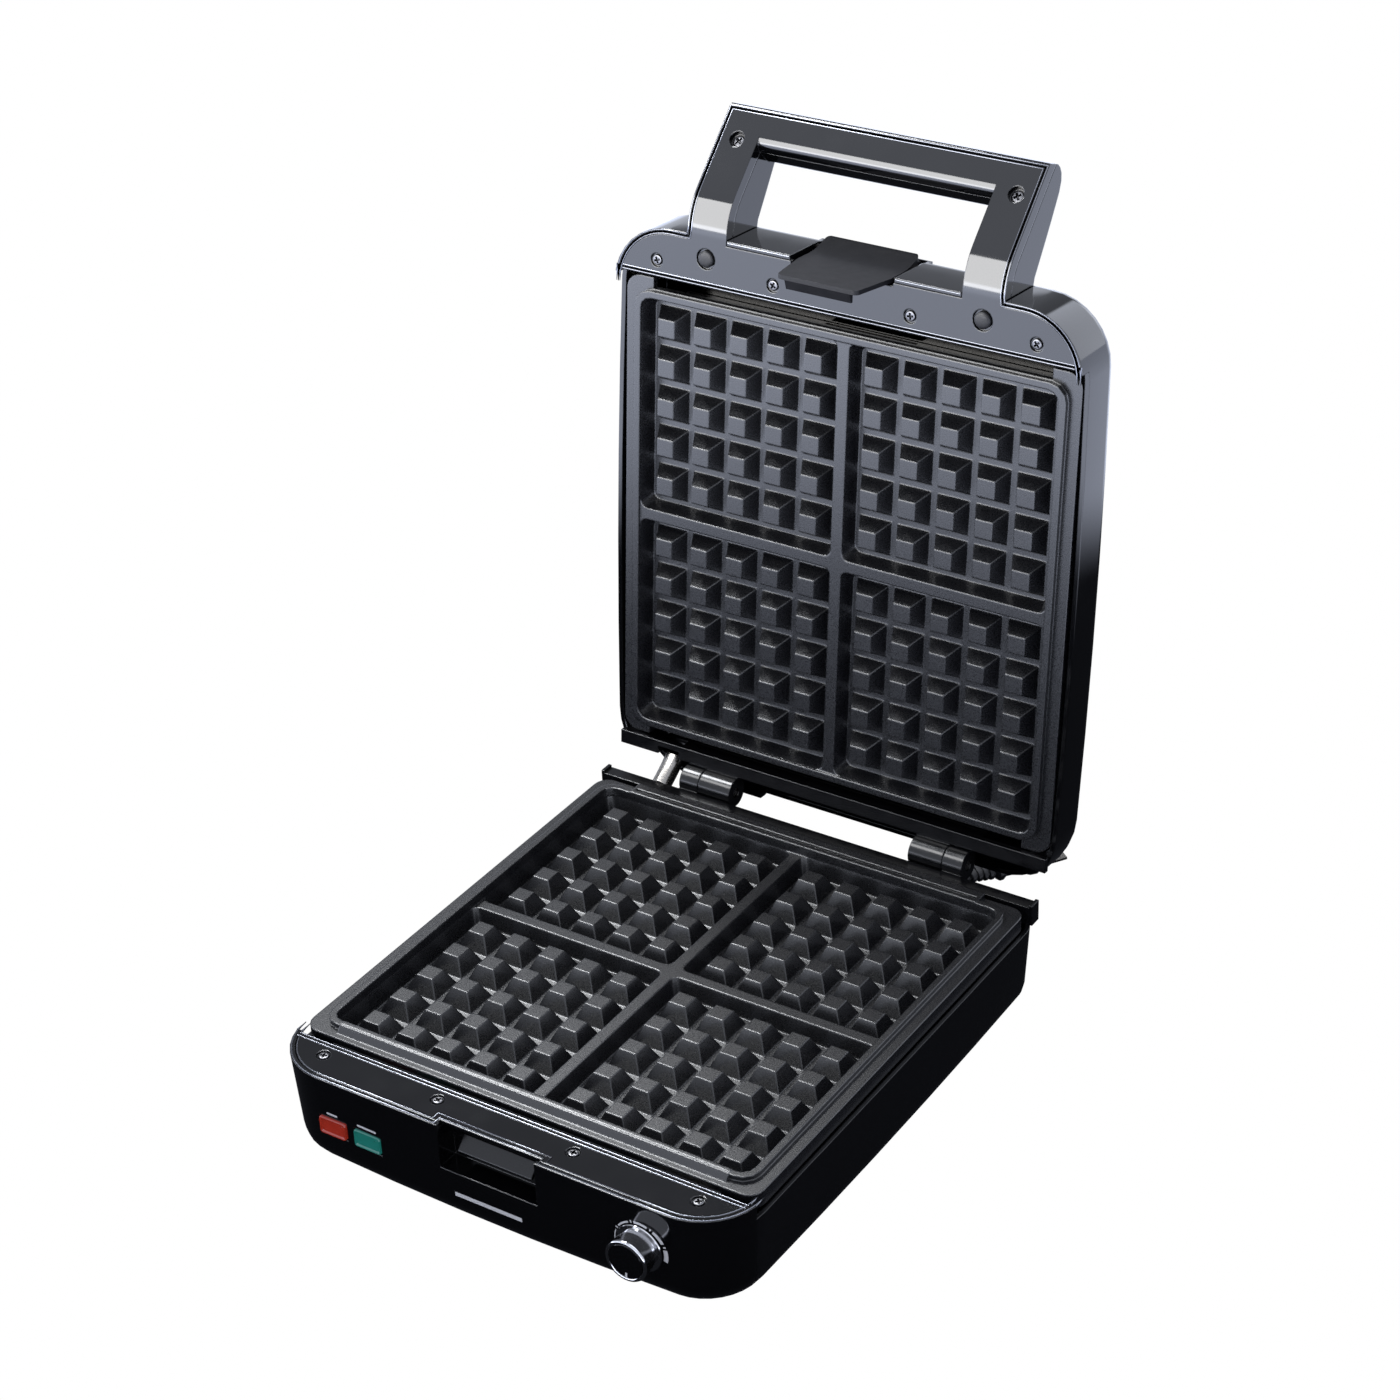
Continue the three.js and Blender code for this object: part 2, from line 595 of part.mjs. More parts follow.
function gripProfile() {
  const round = 6;
  const steps = 5;
  const lower = [];
  const upper = [];
  for (let i = 0; i <= steps; i += 1) {
    const turn = (Math.PI / 2) * (i / steps);
    const near = round * (1 - Math.sin(turn));
    const far = round * (1 - Math.cos(turn));
    lower.push(handlePoint(GRIP_START + near, far));
    upper.push(handlePoint(GRIP_START + far, GRIP_DEPTH - near));
  }
  return [...lower, ...upper, ...outerEdge().slice(0, 7).reverse()];
}

function handleBlock() {
  const arms = [-1, 1].map((side) => sideways(armProfile(), side > 0 ? ARM_X : [-ARM_X[1], -ARM_X[0]]));
  const grip = sideways(gripProfile(), [1 - ARM_X[1], ARM_X[1] - 1]);
  return join([...arms, grip]);
}

// Everything nearer the inner face than depth.
function innerLayer(depth) {
  const outside = -5;
  const far = [...bendPoints(depth), handlePoint(60, depth)];
  const near = [...bendPoints(outside), handlePoint(60, outside)];
  return sideways([...far, ...near.reverse()], [-TALL, TALL]);
}

function handleScrewHole(x, radius, [depth0, depth1]) {
  const from = handlePoint(HANDLE_SCREW_ALONG, depth0);
  const to = handlePoint(HANDLE_SCREW_ALONG, depth1);
  return rod([x, from.x, from.y], [x, to.x, to.y], radius, radius, 14);
}

function handleFrame() {
  const levels = [LID_TRIM_FACE, LID_TRIM_FACE + TRIM_THICKNESS];
  const strip = cut(trimStrip(lidOutline, levels, -125.7, -147.2), screwHoles(levels, LID_TRIM_FACE - 1.7));
  const frame = handleBlock().intersect(innerLayer(FRAME_LAYER));
  const holes = [-1, 1].flatMap((side) => [
    handleScrewHole(side * HANDLE_SCREW_X, 4.2, [-2, 3.5]),
    handleScrewHole(side * HANDLE_SCREW_X, 2, [0, 10]),
    rod([side * BUMPER_X, BUMPER_Y, LID_TRIM_FACE - 1], [side * BUMPER_X, BUMPER_Y, LID_TRIM_FACE + 1.5], 5.4),
  ]);
  return cut(strip.add(frame), holes);
}

function handleCover() {
  const cover = handleBlock().subtract(innerLayer(FRAME_LAYER + GAP));
  return cut(cover, [-1, 1].map((side) => handleScrewHole(side * HANDLE_SCREW_X, 2, [0, 16])));
}

function handleScrew(side) {
  const x = side * HANDLE_SCREW_X;
  return handleScrewHole(x, 3.6, [1.4, 3.2]).add(handleScrewHole(x, 1.6, [3, 14]));
}

// The latch: a flat plate that tapers to its tip, with a scooped finger lip at the hinge end.
function latchPlate() {
  const back = -147.6;
  const front = -149.9;
  const lipTop = 90.4;
  const taperTop = LATCH_TIP_Z + 26;
  const tipRound = 3;
  const lipRound = 4;
  const side = [
    [back, LATCH_TIP_Z], [front, LATCH_TIP_Z], [front, 72], [-150.2, 76.5], [-151.1, 81], [-152.6, 85.5],
    [-154, 88.6], [-154.2, 89.8], [-153.6, lipTop], [back, lipTop],
  ];
  const outlineFront = [
    ...arc(LATCH_HALF_X - lipRound, lipTop - lipRound, lipRound, 0, 90, 4),
    ...arc(lipRound - LATCH_HALF_X, lipTop - lipRound, lipRound, 90, 180, 4),
    new THREE.Vector2(-LATCH_HALF_X, taperTop),
    ...arc(tipRound - LATCH_TIP_HALF_X, LATCH_TIP_Z + tipRound, tipRound, 180, 270, 4),
    ...arc(LATCH_TIP_HALF_X - tipRound, LATCH_TIP_Z + tipRound, tipRound, 270, 360, 4),
    new THREE.Vector2(LATCH_HALF_X, taperTop),
  ];
  const faceOn = slab(outlineFront, [-160, -140]).transform([1, 0, 0, 0, 0, 0, 1, 0, 0, 1, 0, 0, 0, 0, 0, 1]);
  const plate = sideways(side.map(([y, z]) => new THREE.Vector2(y, z)), [-LATCH_HALF_X, LATCH_HALF_X]);
  const hook = sideways(
    [[back - 1, 36], [-142.6, 38.2], [-142.6, 39.6], [back - 1, 39.6]].map(([y, z]) => new THREE.Vector2(y, z)),
    [-18, 18],
  );
  const barrels = [-1, 1].map((hand) => rod(
    [hand * 6, LATCH_AXIS_Y, LATCH_AXIS_Z],
    [hand * LATCH_HALF_X, LATCH_AXIS_Y, LATCH_AXIS_Z],
    3.2,
  ));
  const springPocket = box([-6, 6], [-151.1, TALL], [84, TALL]);
  const ends = [-TALL, TALL].map((x) => [x, LATCH_AXIS_Y, LATCH_AXIS_Z]);
  const bore = rod(ends[0], ends[1], 1.6);
  return cut(join([plate.intersect(faceOn), hook, ...barrels]), [springPocket, bore]);
}

function latchPin() {
  const reach = RECESS_HALF_X + 2.5;
  return rod([-reach, LATCH_AXIS_Y, LATCH_AXIS_Z], [reach, LATCH_AXIS_Y, LATCH_AXIS_Z], 1.2, 1.2, 12);
}

function latchSpring() {
  const turns = 4;
  const points = [];
  for (let i = 0; i <= turns * 8; i += 1) {
    const turn = (i / 8) * 2 * Math.PI;
    const x = -4.6 + (9.2 * i) / (turns * 8);
    points.push([x, LATCH_AXIS_Y + 2 * Math.cos(turn), LATCH_AXIS_Z + 2 * Math.sin(turn)]);
  }
  return tubeAlong(points, 0.4, 4, 44);
}

function bumper(side) {
  const x = side * BUMPER_X;
  return rod([x, BUMPER_Y, LID_TRIM_FACE - 1.4], [x, BUMPER_Y, LID_TRIM_FACE + 1.2], 4.4, 5);
}

function lens(x) {
  return box(
    [x - LAMP_HALF[0], x + LAMP_HALF[0]],
    [-149.9, -141],
    [LAMP_Z - LAMP_HALF[1], LAMP_Z + LAMP_HALF[1]],
  );
}

function lampBulb(x) {
  return rod([x, -140.4, LAMP_Z], [x, -126, LAMP_Z], 3.5, 3.5, 12);
}

// Knob: a front barrel, a groove and a wider foot against the fascia.
function knobBarrel() {
  const along = [
    [0, KNOB_BACK_Y], [12.6, KNOB_BACK_Y], [12.6, -151.2], [10, -151.8], [10, -153.4],
    [KNOB_RADIUS, -154], [KNOB_RADIUS, KNOB_FACE_Y + 0.6], [KNOB_RADIUS - 0.7, KNOB_FACE_Y],
    [9.4, KNOB_FACE_Y], [9.4, -160.5], [0, -160.5],
  ];
  const geometry = new THREE.LatheGeometry(along.map(([r, y]) => new THREE.Vector2(r, -y)), 28);
  geometry.rotateX(Math.PI);
  geometry.translate(KNOB_X, 0, KNOB_Z);
  const bore = rod([KNOB_X, -156, KNOB_Z], [KNOB_X, 0, KNOB_Z], 3.2);
  return solid(geometry).subtract(bore);
}

function knobCap() {
  return rod([KNOB_X, -161.2, KNOB_Z], [KNOB_X, -160.8, KNOB_Z], 9.1, 9.1, 28);
}

function thermostatShaft() {
  return rod([KNOB_X, -155.7, KNOB_Z], [KNOB_X, -140.4, KNOB_Z], 2.9);
}

function thermostat() {
  return box([KNOB_X - 15, KNOB_X + 15], [-140, -122.5], [KNOB_Z - 14, KNOB_Z + 14]);
}

function foot(x, y) {
  return rod([x, y, 0], [x, y, FOOT_HEIGHT - GAP], 8.5, 9.5, 20);
}

function wireSleeve() {
  const points = [[-97.5, 143, 58.6], [-97.5, 147.5, 59.8], [-97.5, 153, 63.4], [-97.5, 158, 67.6]];
  return tubeAlong(points, 4.5, 12, 8);
}

function terminalBlock() {
  return box([-22, 22], [PLATE_CENTRE_Y + 115, PLATE_CENTRE_Y + 127], [29, 41]);
}

function thermalFuse() {
  return rod([40, PLATE_CENTRE_Y + 121, 20], [62, PLATE_CENTRE_Y + 121, 20], 3.5, 3.5, 12);
}

// Strain relief: a collar held in the wall and a tapered, ribbed sleeve outside it.
function cordGland() {
  const { x, y, z, length } = GLAND;
  const profile = [[3.8, y - 7], [9, y - 7], [9, y - 3.6], [7.1, y - 3.6], [7.1, y + 0.4], [9, y + 0.4], [9, y + 2.4]];
  const ribs = 4;
  const pitch = (length - 3.4) / ribs;
  for (let i = 0; i < ribs; i += 1) {
    const start = y + 3.4 + pitch * i;
    const radius = 7.4 - i * 0.6;
    profile.push([radius - 1, start], [radius, start + 0.8], [radius, start + 2.8], [radius - 1, start + 3.4]);
  }
  profile.push([3.8, y + length], [3.8, y - 7]);
  const geometry = new THREE.LatheGeometry(profile.map(([r, a]) => new THREE.Vector2(r, a)), 14);
  geometry.translate(x, 0, z);
  return solid(geometry);
}

// The outer shape of the folded cord, with round ends.
function hankBlock(grow) {
  const radius = (HANK.yFar - HANK.yNear) / 2 + CORD_RADIUS + grow;
  const middle = (HANK.yFar + HANK.yNear) / 2;
  const points = [...arc(HANK.x1, middle, radius, -90, 90, 10), ...arc(HANK.x0, middle, radius, 90, 270, 10)];
  return slab(points, [HANK.low - grow, HANK.height + grow]);
}

function cordRun(route, steps) {
  return tubeAlong(route, CORD_RADIUS, 8, steps).subtract(hankBlock(GAP));
}

// Plug, pointing along +X before it is turned: ribbed neck, flange, waist and wide front.
function plugBody() {
  const profile = [[0, 0], [3.9, 0]];
  const ribs = 4;
  for (let i = 0; i < ribs; i += 1) {
    const start = 0.6 + i * 3.2;
    const radius = 4.8 + i * 0.5;
    profile.push([radius, start], [radius, start + 1.8], [radius - 1, start + 2], [radius - 1, start + 3]);
  }
  profile.push([7, 13.8], [8.4, 15], [8.4, 17], [6.8, 19], [7.4, 27], [10.4, 32], [10.8, 36], [9.8, 37], [0, 37]);
  const geometry = new THREE.LatheGeometry(profile.map(([r, along]) => new THREE.Vector2(r, along)), 16);
  geometry.rotateZ(-Math.PI / 2);
  geometry.scale(1, 1, 0.74);
  const sockets = [-1, 1].map((side) => box([30, 50], [side * 6.3 - 3.3, side * 6.3 + 3.3], [-1, 1]));
  return cut(solid(geometry), sockets);
}

function plugBlade(side) {
  return box([30.4, 53], [side * 6.3 - 3, side * 6.3 + 3], [-0.7, 0.7]);
}

// ---- Assembly -----------------------------------------------------------------------------
function part(name, body, look) {
  const [color, roughness, metalness] = COLOURS[look];
  const mesh = new THREE.Mesh(
    geometryOf(body),
    new THREE.MeshStandardMaterial({ color, roughness, metalness }),
  );
  mesh.name = name;
  return mesh;
}

function placed(mesh, x, y, z, turnX = 0) {
  mesh.position.set(x, y, z);
  mesh.rotation.x = turnX;
  return mesh;
}

function buildBase() {
  const base = new THREE.Group();
  base.add(
    part('base_housing', baseHousing(), 'satin_black'),
    part('front_fascia', frontFascia(), 'gloss_black'),
    part('base_trim', baseTrim(), 'gloss_black'),
    part('latch_catch', latchCatch(), 'satin_black'),
    part('base_hinge_bridge', baseHingeBridge(), 'satin_black'),
    part('hinge_pin_left', hingePin(-1), 'steel'),
    part('hinge_pin_right', hingePin(1), 'steel'),
    part('wire_sleeve', wireSleeve(), 'steel'),
    part('thermostat', thermostat(), 'ceramic'),
    part('power_lamp_bulb', lampBulb(POWER_LAMP_X), 'ceramic'),
    part('ready_lamp_bulb', lampBulb(READY_LAMP_X), 'ceramic'),
    part('power_lamp_lens', lens(POWER_LAMP_X), 'red_lens'),
    part('ready_lamp_lens', lens(READY_LAMP_X), 'green_lens'),
    part('terminal_block', terminalBlock(), 'ceramic'),
    part('thermal_fuse', thermalFuse(), 'ceramic'),
  );
  TRIM_SCREW_X.forEach((x, i) => {
    base.add(part(`base_trim_screw_${i + 1}`, trimScrew(x, BASE_TRIM_TOP - 0.1, -1), 'dark_metal'));
  });
  const feet = { front_left: [-96, -116], front_right: [96, -116], rear_left: [-96, 112], rear_right: [96, 112] };
  for (const [place, [x, y]] of Object.entries(feet)) {
    base.add(part(`foot_${place}`, foot(x, y), 'rubber'));
  }
  const plate = part('lower_plate', lowerPlate(), 'nonstick');
  const element = part('lower_element', heatingElement(), 'dark_metal');
  const shield = part('lower_reflector', reflector(9), 'steel');
  base.add(placed(plate, 0, PLATE_CENTRE_Y, LOWER_TOPS));
  base.add(placed(element, 0, PLATE_CENTRE_Y, LOWER_TOPS - ELEMENT_DEPTH));
  base.add(placed(shield, 0, PLATE_CENTRE_Y - 1, LOWER_TOPS - 29));
  return base;
}

function buildKnob() {
  const knob = new THREE.Group();
  knob.add(
    part('control_knob', knobBarrel(), 'chrome'),
    part('knob_cap', knobCap(), 'gloss_black'),
    part('thermostat_shaft', thermostatShaft(), 'steel'),
  );
  return knob;
}

// The lid and its latch, modelled shut, inside a group that turns about the hinge.
function buildLid() {
  const shut = new THREE.Group();
  shut.position.set(0, -HINGE_Y, -HINGE_Z);
  shut.add(
    part('lid_shell', lidShell(), 'gloss_black'),
    part('lid_top_panel', lidTopPanel(), 'steel'),
    part('handle_frame', handleFrame(), 'gloss_black'),
    part('handle_cover', handleCover(), 'gloss_black'),
    part('lid_hinge_bridge', lidHingeBridge(), 'satin_black'),
    part('latch_pin', latchPin(), 'steel'),
    part('latch_spring', latchSpring(), 'steel'),
    part('latch', latchPlate(), 'satin_black'),
  );
  TRIM_SCREW_X.forEach((x, i) => {
    shut.add(part(`lid_trim_screw_${i + 1}`, trimScrew(x, LID_TRIM_FACE + 0.1, 1), 'dark_metal'));
  });
  for (const [place, side] of [['left', -1], ['right', 1]]) {
    shut.add(part(`handle_screw_${place}`, handleScrew(side), 'dark_metal'));
    shut.add(part(`bumper_${place}`, bumper(side), 'rubber'));
  }
  const plate = part('upper_plate', upperPlate(), 'nonstick');
  const element = part('upper_element', heatingElement(), 'dark_metal');
  const shield = part('upper_reflector', reflector(9), 'steel');
  shut.add(placed(plate, 0, PLATE_CENTRE_Y, UPPER_TOPS, Math.PI));
  shut.add(placed(element, 0, PLATE_CENTRE_Y, UPPER_TOPS + ELEMENT_DEPTH, Math.PI));
  shut.add(placed(shield, 0, PLATE_CENTRE_Y, UPPER_TOPS + 29, Math.PI));
  const lid = new THREE.Group();
  lid.position.set(0, HINGE_Y, HINGE_Z);
  lid.rotation.x = -THREE.MathUtils.degToRad(LID_OPEN_DEGREES);
  lid.add(shut);
  return lid;
}

function buildCord() {
  const cord = new THREE.Group();
  const plug = new THREE.Group();
  plug.position.set(PLUG.x, PLUG.y, PLUG.z);
  plug.rotation.set(0, -THREE.MathUtils.degToRad(PLUG.tilt), THREE.MathUtils.degToRad(PLUG.turn), 'ZYX');
  plug.add(
    part('plug_body', plugBody(), 'rubber'),
    part('plug_blade_left', plugBlade(-1), 'steel'),
    part('plug_blade_right', plugBlade(1), 'steel'),
  );
  cord.add(
    part('cord_gland', cordGland(), 'rubber'),
    part('cord_inlet_run', cordRun(INLET_ROUTE, 7), 'rubber'),
    part('cord_plug_run', cordRun(PLUG_ROUTE, 11), 'rubber'),
    part('cord_hank', hankBlock(0), 'rubber'),
    plug,
  );
  return cord;
}

const waffleMaker = new THREE.Group();
waffleMaker.position.y = -FRAME_CENTRE_Y;
waffleMaker.add(buildBase(), buildKnob(), buildLid(), buildCord());

export default waffleMaker;
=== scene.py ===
"""Looks of a four-waffle maker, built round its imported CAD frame.

Metres, +Z up, the front faces -Y. Lengths in MM are millimetres on the real object.
"""

import json
import math

import bpy
import bmesh
from mathutils import Matrix, Vector
from mathutils.geometry import tessellate_polygon


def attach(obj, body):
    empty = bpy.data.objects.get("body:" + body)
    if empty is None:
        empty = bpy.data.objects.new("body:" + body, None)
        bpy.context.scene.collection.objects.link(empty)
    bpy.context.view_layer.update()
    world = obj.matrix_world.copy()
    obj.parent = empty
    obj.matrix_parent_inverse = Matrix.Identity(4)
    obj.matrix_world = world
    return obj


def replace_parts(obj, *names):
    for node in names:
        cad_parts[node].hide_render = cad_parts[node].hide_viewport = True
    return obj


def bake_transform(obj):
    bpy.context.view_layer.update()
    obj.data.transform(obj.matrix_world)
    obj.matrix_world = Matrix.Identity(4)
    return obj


MM = 0.001
FRAME_CENTRE_Y = 35.52  # the frame's origin in the bench coordinates that the part is drawn in

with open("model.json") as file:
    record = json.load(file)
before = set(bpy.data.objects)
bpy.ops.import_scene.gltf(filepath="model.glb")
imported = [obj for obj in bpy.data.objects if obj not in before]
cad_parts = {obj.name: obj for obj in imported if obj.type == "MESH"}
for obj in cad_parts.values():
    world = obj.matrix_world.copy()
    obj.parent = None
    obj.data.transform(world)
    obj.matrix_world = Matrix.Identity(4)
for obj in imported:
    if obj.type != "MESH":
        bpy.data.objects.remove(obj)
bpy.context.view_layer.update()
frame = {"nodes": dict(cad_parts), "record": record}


def bench(x, y, z):
    """A point given in millimetres from the part's drawing, as a point of the frame."""
    return Vector((x, y - FRAME_CENTRE_Y, z)) * MM


HINGE_Y = 150.2
HINGE_Z = 62.2
LID_OPEN_DEGREES = 95.7
TO_FRAME = Matrix.Scale(MM, 4) @ Matrix.Translation((0, -FRAME_CENTRE_Y, 0))
TO_HINGE = Matrix.Translation((0, HINGE_Y, HINGE_Z))
OPEN_LID = (
    TO_FRAME @ TO_HINGE @ Matrix.Rotation(math.radians(-LID_OPEN_DEGREES), 4, "X") @ TO_HINGE.inverted()
)
# Where a piece drawn in bench millimetres with the lid shut stands at rest, with the lid open.
PLACE = {"base": TO_FRAME, "knob": TO_FRAME, "lid": OPEN_LID, "latch": OPEN_LID}


# ---- Camera ---------------------------------------------------------------------------------
CAMERA_PLACE = (735.0, -1041.1, 978.1)
CAMERA_AZIMUTH = 34.2
CAMERA_ELEVATION = 30.98
CAMERA_ROLL = -2.59
CAMERA_LENS = 82.66


def make_camera():
    data = bpy.data.cameras.new("camera")
    data.lens = CAMERA_LENS
    data.sensor_width = 36
    data.clip_start = 0.05
    camera = bpy.data.objects.new("camera", data)
    bpy.context.scene.collection.objects.link(camera)
    azimuth, elevation, roll = map(math.radians, (CAMERA_AZIMUTH, CAMERA_ELEVATION, CAMERA_ROLL))
    back = Vector((
        math.sin(azimuth) * math.cos(elevation),
        -math.cos(azimuth) * math.cos(elevation),
        math.sin(elevation),
    ))
    right = Vector((math.cos(azimuth), math.sin(azimuth), 0))
    up = back.cross(right)
    tilted_right = right * math.cos(roll) + up * math.sin(roll)
    tilted_up = up * math.cos(roll) - right * math.sin(roll)
    turn = Matrix((tilted_right, tilted_up, back)).transposed().to_4x4()
    camera.matrix_world = Matrix.Translation(bench(*CAMERA_PLACE)) @ turn
    bpy.context.scene.camera = camera


make_camera()


# ---- Node helpers for materials -------------------------------------------------------------
def new_material(name, color, roughness, metallic=0.0, coat=0.0, specular=0.5):
    material = bpy.data.materials.new(name)
    material.use_nodes = True
    shader = material.node_tree.nodes["Principled BSDF"]
    shader.inputs["Base Color"].default_value = (*color, 1)
    shader.inputs["Roughness"].default_value = roughness
    shader.inputs["Metallic"].default_value = metallic
    shader.inputs["Coat Weight"].default_value = coat
    shader.inputs["Coat Roughness"].default_value = 0.06
    shader.inputs["Specular IOR Level"].default_value = specular
    return material


def node(material, kind, **settings):
    made = material.node_tree.nodes.new(kind)
    for key, value in settings.items():
        setattr(made, key, value)
    return made


def link(material, source, target):
    material.node_tree.links.new(source, target)


def coordinates(material, scale=(1, 1, 1)):
    """Object coordinates in millimetres, stretched by scale."""
    source = node(material, "ShaderNodeTexCoord")
    mapping = node(material, "ShaderNodeMapping")
    mapping.inputs["Scale"].default_value = [1000 * s for s in scale]
    link(material, source.outputs["Object"], mapping.inputs["Vector"])
    return mapping.outputs["Vector"]


def noise(material, scale, detail=2.0, stretch=(1, 1, 1)):
    """Noise whose grain is about 1 / scale millimetres."""
    texture = node(material, "ShaderNodeTexNoise")
    texture.inputs["Scale"].default_value = scale
    texture.inputs["Detail"].default_value = detail
    link(material, coordinates(material, stretch), texture.inputs["Vector"])
    return texture.outputs["Fac"]


def spread(material, factor, low, high, socket):
    """The socket runs from low to high as factor goes from 0.3 to 0.7."""
    ramp = node(material, "ShaderNodeMapRange")
    ramp.inputs["From Min"].default_value = 0.3
    ramp.inputs["From Max"].default_value = 0.7
    ramp.inputs["To Min"].default_value = low
    ramp.inputs["To Max"].default_value = high
    link(material, factor, ramp.inputs["Value"])
    link(material, ramp.outputs["Result"], material.node_tree.nodes["Principled BSDF"].inputs[socket])


def bump(material, height, strength, distance_mm, edge_mm):
    """Fine relief, over edges that shade as if rounded to this radius."""
    edges = node(material, "ShaderNodeBevel", samples=6)
    edges.inputs["Radius"].default_value = edge_mm * MM
    made = node(material, "ShaderNodeBump")
    link(material, edges.outputs["Normal"], made.inputs["Normal"])
    made.inputs["Strength"].default_value = strength
    made.inputs["Distance"].default_value = distance_mm * MM
    link(material, height, made.inputs["Height"])
    link(material, made.outputs["Normal"], material.node_tree.nodes["Principled BSDF"].inputs["Normal"])


def gloss_black():
    material = new_material("gloss_black", (0.001, 0.001, 0.0012), 0.07)
    spread(material, noise(material, 0.05), 0.05, 0.1, "Roughness")
    bump(material, noise(material, 0.03, 1), 0.06, 0.6, 0.8)
    return material


def satin_black():
    material = new_material("satin_black", (0.0016, 0.0016, 0.0019), 0.2, specular=0.32)
    spread(material, noise(material, 0.2), 0.16, 0.24, "Roughness")
    bump(material, noise(material, 2.2, 3), 0.05, 0.02, 0.7)
    return material


def matte_black():
    material = new_material("matte_black", (0.003, 0.003, 0.004), 0.5, specular=0.15)
    spread(material, noise(material, 0.2), 0.46, 0.54, "Roughness")
    return material


def glossy_rib():
    """The ribs along the trims, which catch far more light than the flat beside them."""
    material = new_material("glossy_rib", (0.14, 0.145, 0.16), 0.16, metallic=1)
    spread(material, noise(material, 0.5), 0.12, 0.2, "Roughness")
    return material


def nonstick():
    material = new_material("nonstick", (0.0022, 0.0023, 0.003), 0.3, specular=0.6)
    grain = noise(material, 1.7, 4)
    spread(material, grain, 0.23, 0.34, "Roughness")
    bump(material, grain, 0.35, 0.07, 1.1)
    return material


def chrome():
    material = new_material("chrome", (0.42, 0.42, 0.43), 0.14, metallic=1)
    spread(material, noise(material, 0.4), 0.12, 0.17, "Roughness")
    return material


def steel():
    material = new_material("steel", (0.21, 0.2, 0.185), 0.26, metallic=1)
    spread(material, noise(material, 1.2, 3), 0.2, 0.34, "Roughness")
    return material


def brushed_steel():
    material = new_material("brushed_steel", (0.56, 0.56, 0.57), 0.3, metallic=1)
    lines = noise(material, 6, 3, (0.01, 1, 1))
    spread(material, lines, 0.24, 0.4, "Roughness")
    bump(material, lines, 0.15, 0.02, 0.3)
    return material


def lens_plastic(name, color, glow):
    material = new_material(name, color, 0.18, coat=0.3)
    shader = material.node_tree.nodes["Principled BSDF"]
    # Painted glow: a faint emission stands in for light scattered through the translucent lens.
    shader.inputs["Emission Color"].default_value = (*glow, 1)
    shader.inputs["Emission Strength"].default_value = 0.05
    spread(material, noise(material, 0.8), 0.12, 0.26, "Roughness")
    return material


def rubber():
    material = new_material("rubber", (0.005, 0.005, 0.006), 0.5, specular=0.25)
    spread(material, noise(material, 0.7), 0.44, 0.6, "Roughness")
    bump(material, noise(material, 1.6, 3), 0.2, 0.06, 0.5)
    return material


def dark_metal():
    """Screw steel, with painted shade that turns it almost black down in its recesses."""
    material = new_material("dark_metal", (0.3, 0.3, 0.31), 0.3, metallic=1)
    spread(material, noise(material, 1.5, 3), 0.26, 0.42, "Roughness")
    # Painted shade: an ambient-occlusion mask darkens the base colour in the cross recess and other
    # crevices.
    recess_shade_mask = node(material, "ShaderNodeAmbientOcclusion", samples=8)
    recess_shade_mask.inputs["Distance"].default_value = 1.5 * MM
    blend = node(material, "ShaderNodeMix", data_type="RGBA")
    blend.inputs["A"].default_value = (0.004, 0.004, 0.004, 1)
    blend.inputs["B"].default_value = (0.11, 0.11, 0.115, 1)
    shade = node(material, "ShaderNodeMapRange")
    shade.inputs["From Min"].default_value = 0.7
    shade.inputs["From Max"].default_value = 0.95
    link(material, recess_shade_mask.outputs["AO"], shade.inputs["Value"])
    link(material, shade.outputs["Result"], blend.inputs["Factor"])
    link(material, blend.outputs["Result"], material.node_tree.nodes["Principled BSDF"].inputs["Base Color"])
    return material


def ceramic():
    material = new_material("ceramic", (0.62, 0.57, 0.48), 0.6)
    spread(material, noise(material, 0.9), 0.52, 0.7, "Roughness")
    return material


def shadow_gap():
    """Painted shade: pure black without shine, laid as a line where a narrow groove would lie in shade."""
    material = new_material("shadow_gap", (0, 0, 0), 0.8, specular=0)
    spread(material, noise(material, 1), 0.75, 0.85, "Roughness")
    return material


def white_print():
    material = new_material("white_print", (0.2, 0.2, 0.21), 0.5)
    shader = material.node_tree.nodes["Principled BSDF"]
    # Painted light: a faint bluish glow keeps the print bright whatever light reaches it.
    shader.inputs["Emission Color"].default_value = (0.9, 0.92, 1, 1)
    shader.inputs["Emission Strength"].default_value = 0.12
    spread(material, noise(material, 3, 3), 0.42, 0.6, "Roughness")
    return material


LOOKS = {
    "gloss_black": gloss_black(),
    "satin_black": satin_black(),
    "nonstick": nonstick(),
    "chrome": chrome(),
    "steel": steel(),
    "brushed_steel": brushed_steel(),
    "red_lens": lens_plastic("red_lens", (0.17, 0.012, 0.006), (1, 0.08, 0.03)),
    "green_lens": lens_plastic("green_lens", (0.006, 0.07, 0.058), (0.05, 0.8, 0.6)),
    "rubber": rubber(),
    "dark_metal": dark_metal(),
    "ceramic": ceramic(),
}
PRINT = white_print()
RIB = glossy_rib()
MATTE = matte_black()
PAINTED_GROOVE_SHADE = shadow_gap()
SLOT_OF = {entry["node"]: entry["material_slot"] for entry in frame["record"]["subparts"]}
BODY_OF = {
    name: body
    for body, names in frame["record"]["behaviour"]["bodies"].items()
    for name in names
}


# ---- Pieces ---------------------------------------------------------------------------------
def dress(obj, slot):
    obj.data.materials.clear()
    obj.data.materials.append(LOOKS[slot])
    return obj


def add_mesh(name, mesh, slot, body):
    obj = bpy.data.objects.new(name, mesh)
    bpy.context.scene.collection.objects.link(obj)
    dress(obj, slot)
    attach(obj, body)
    return obj


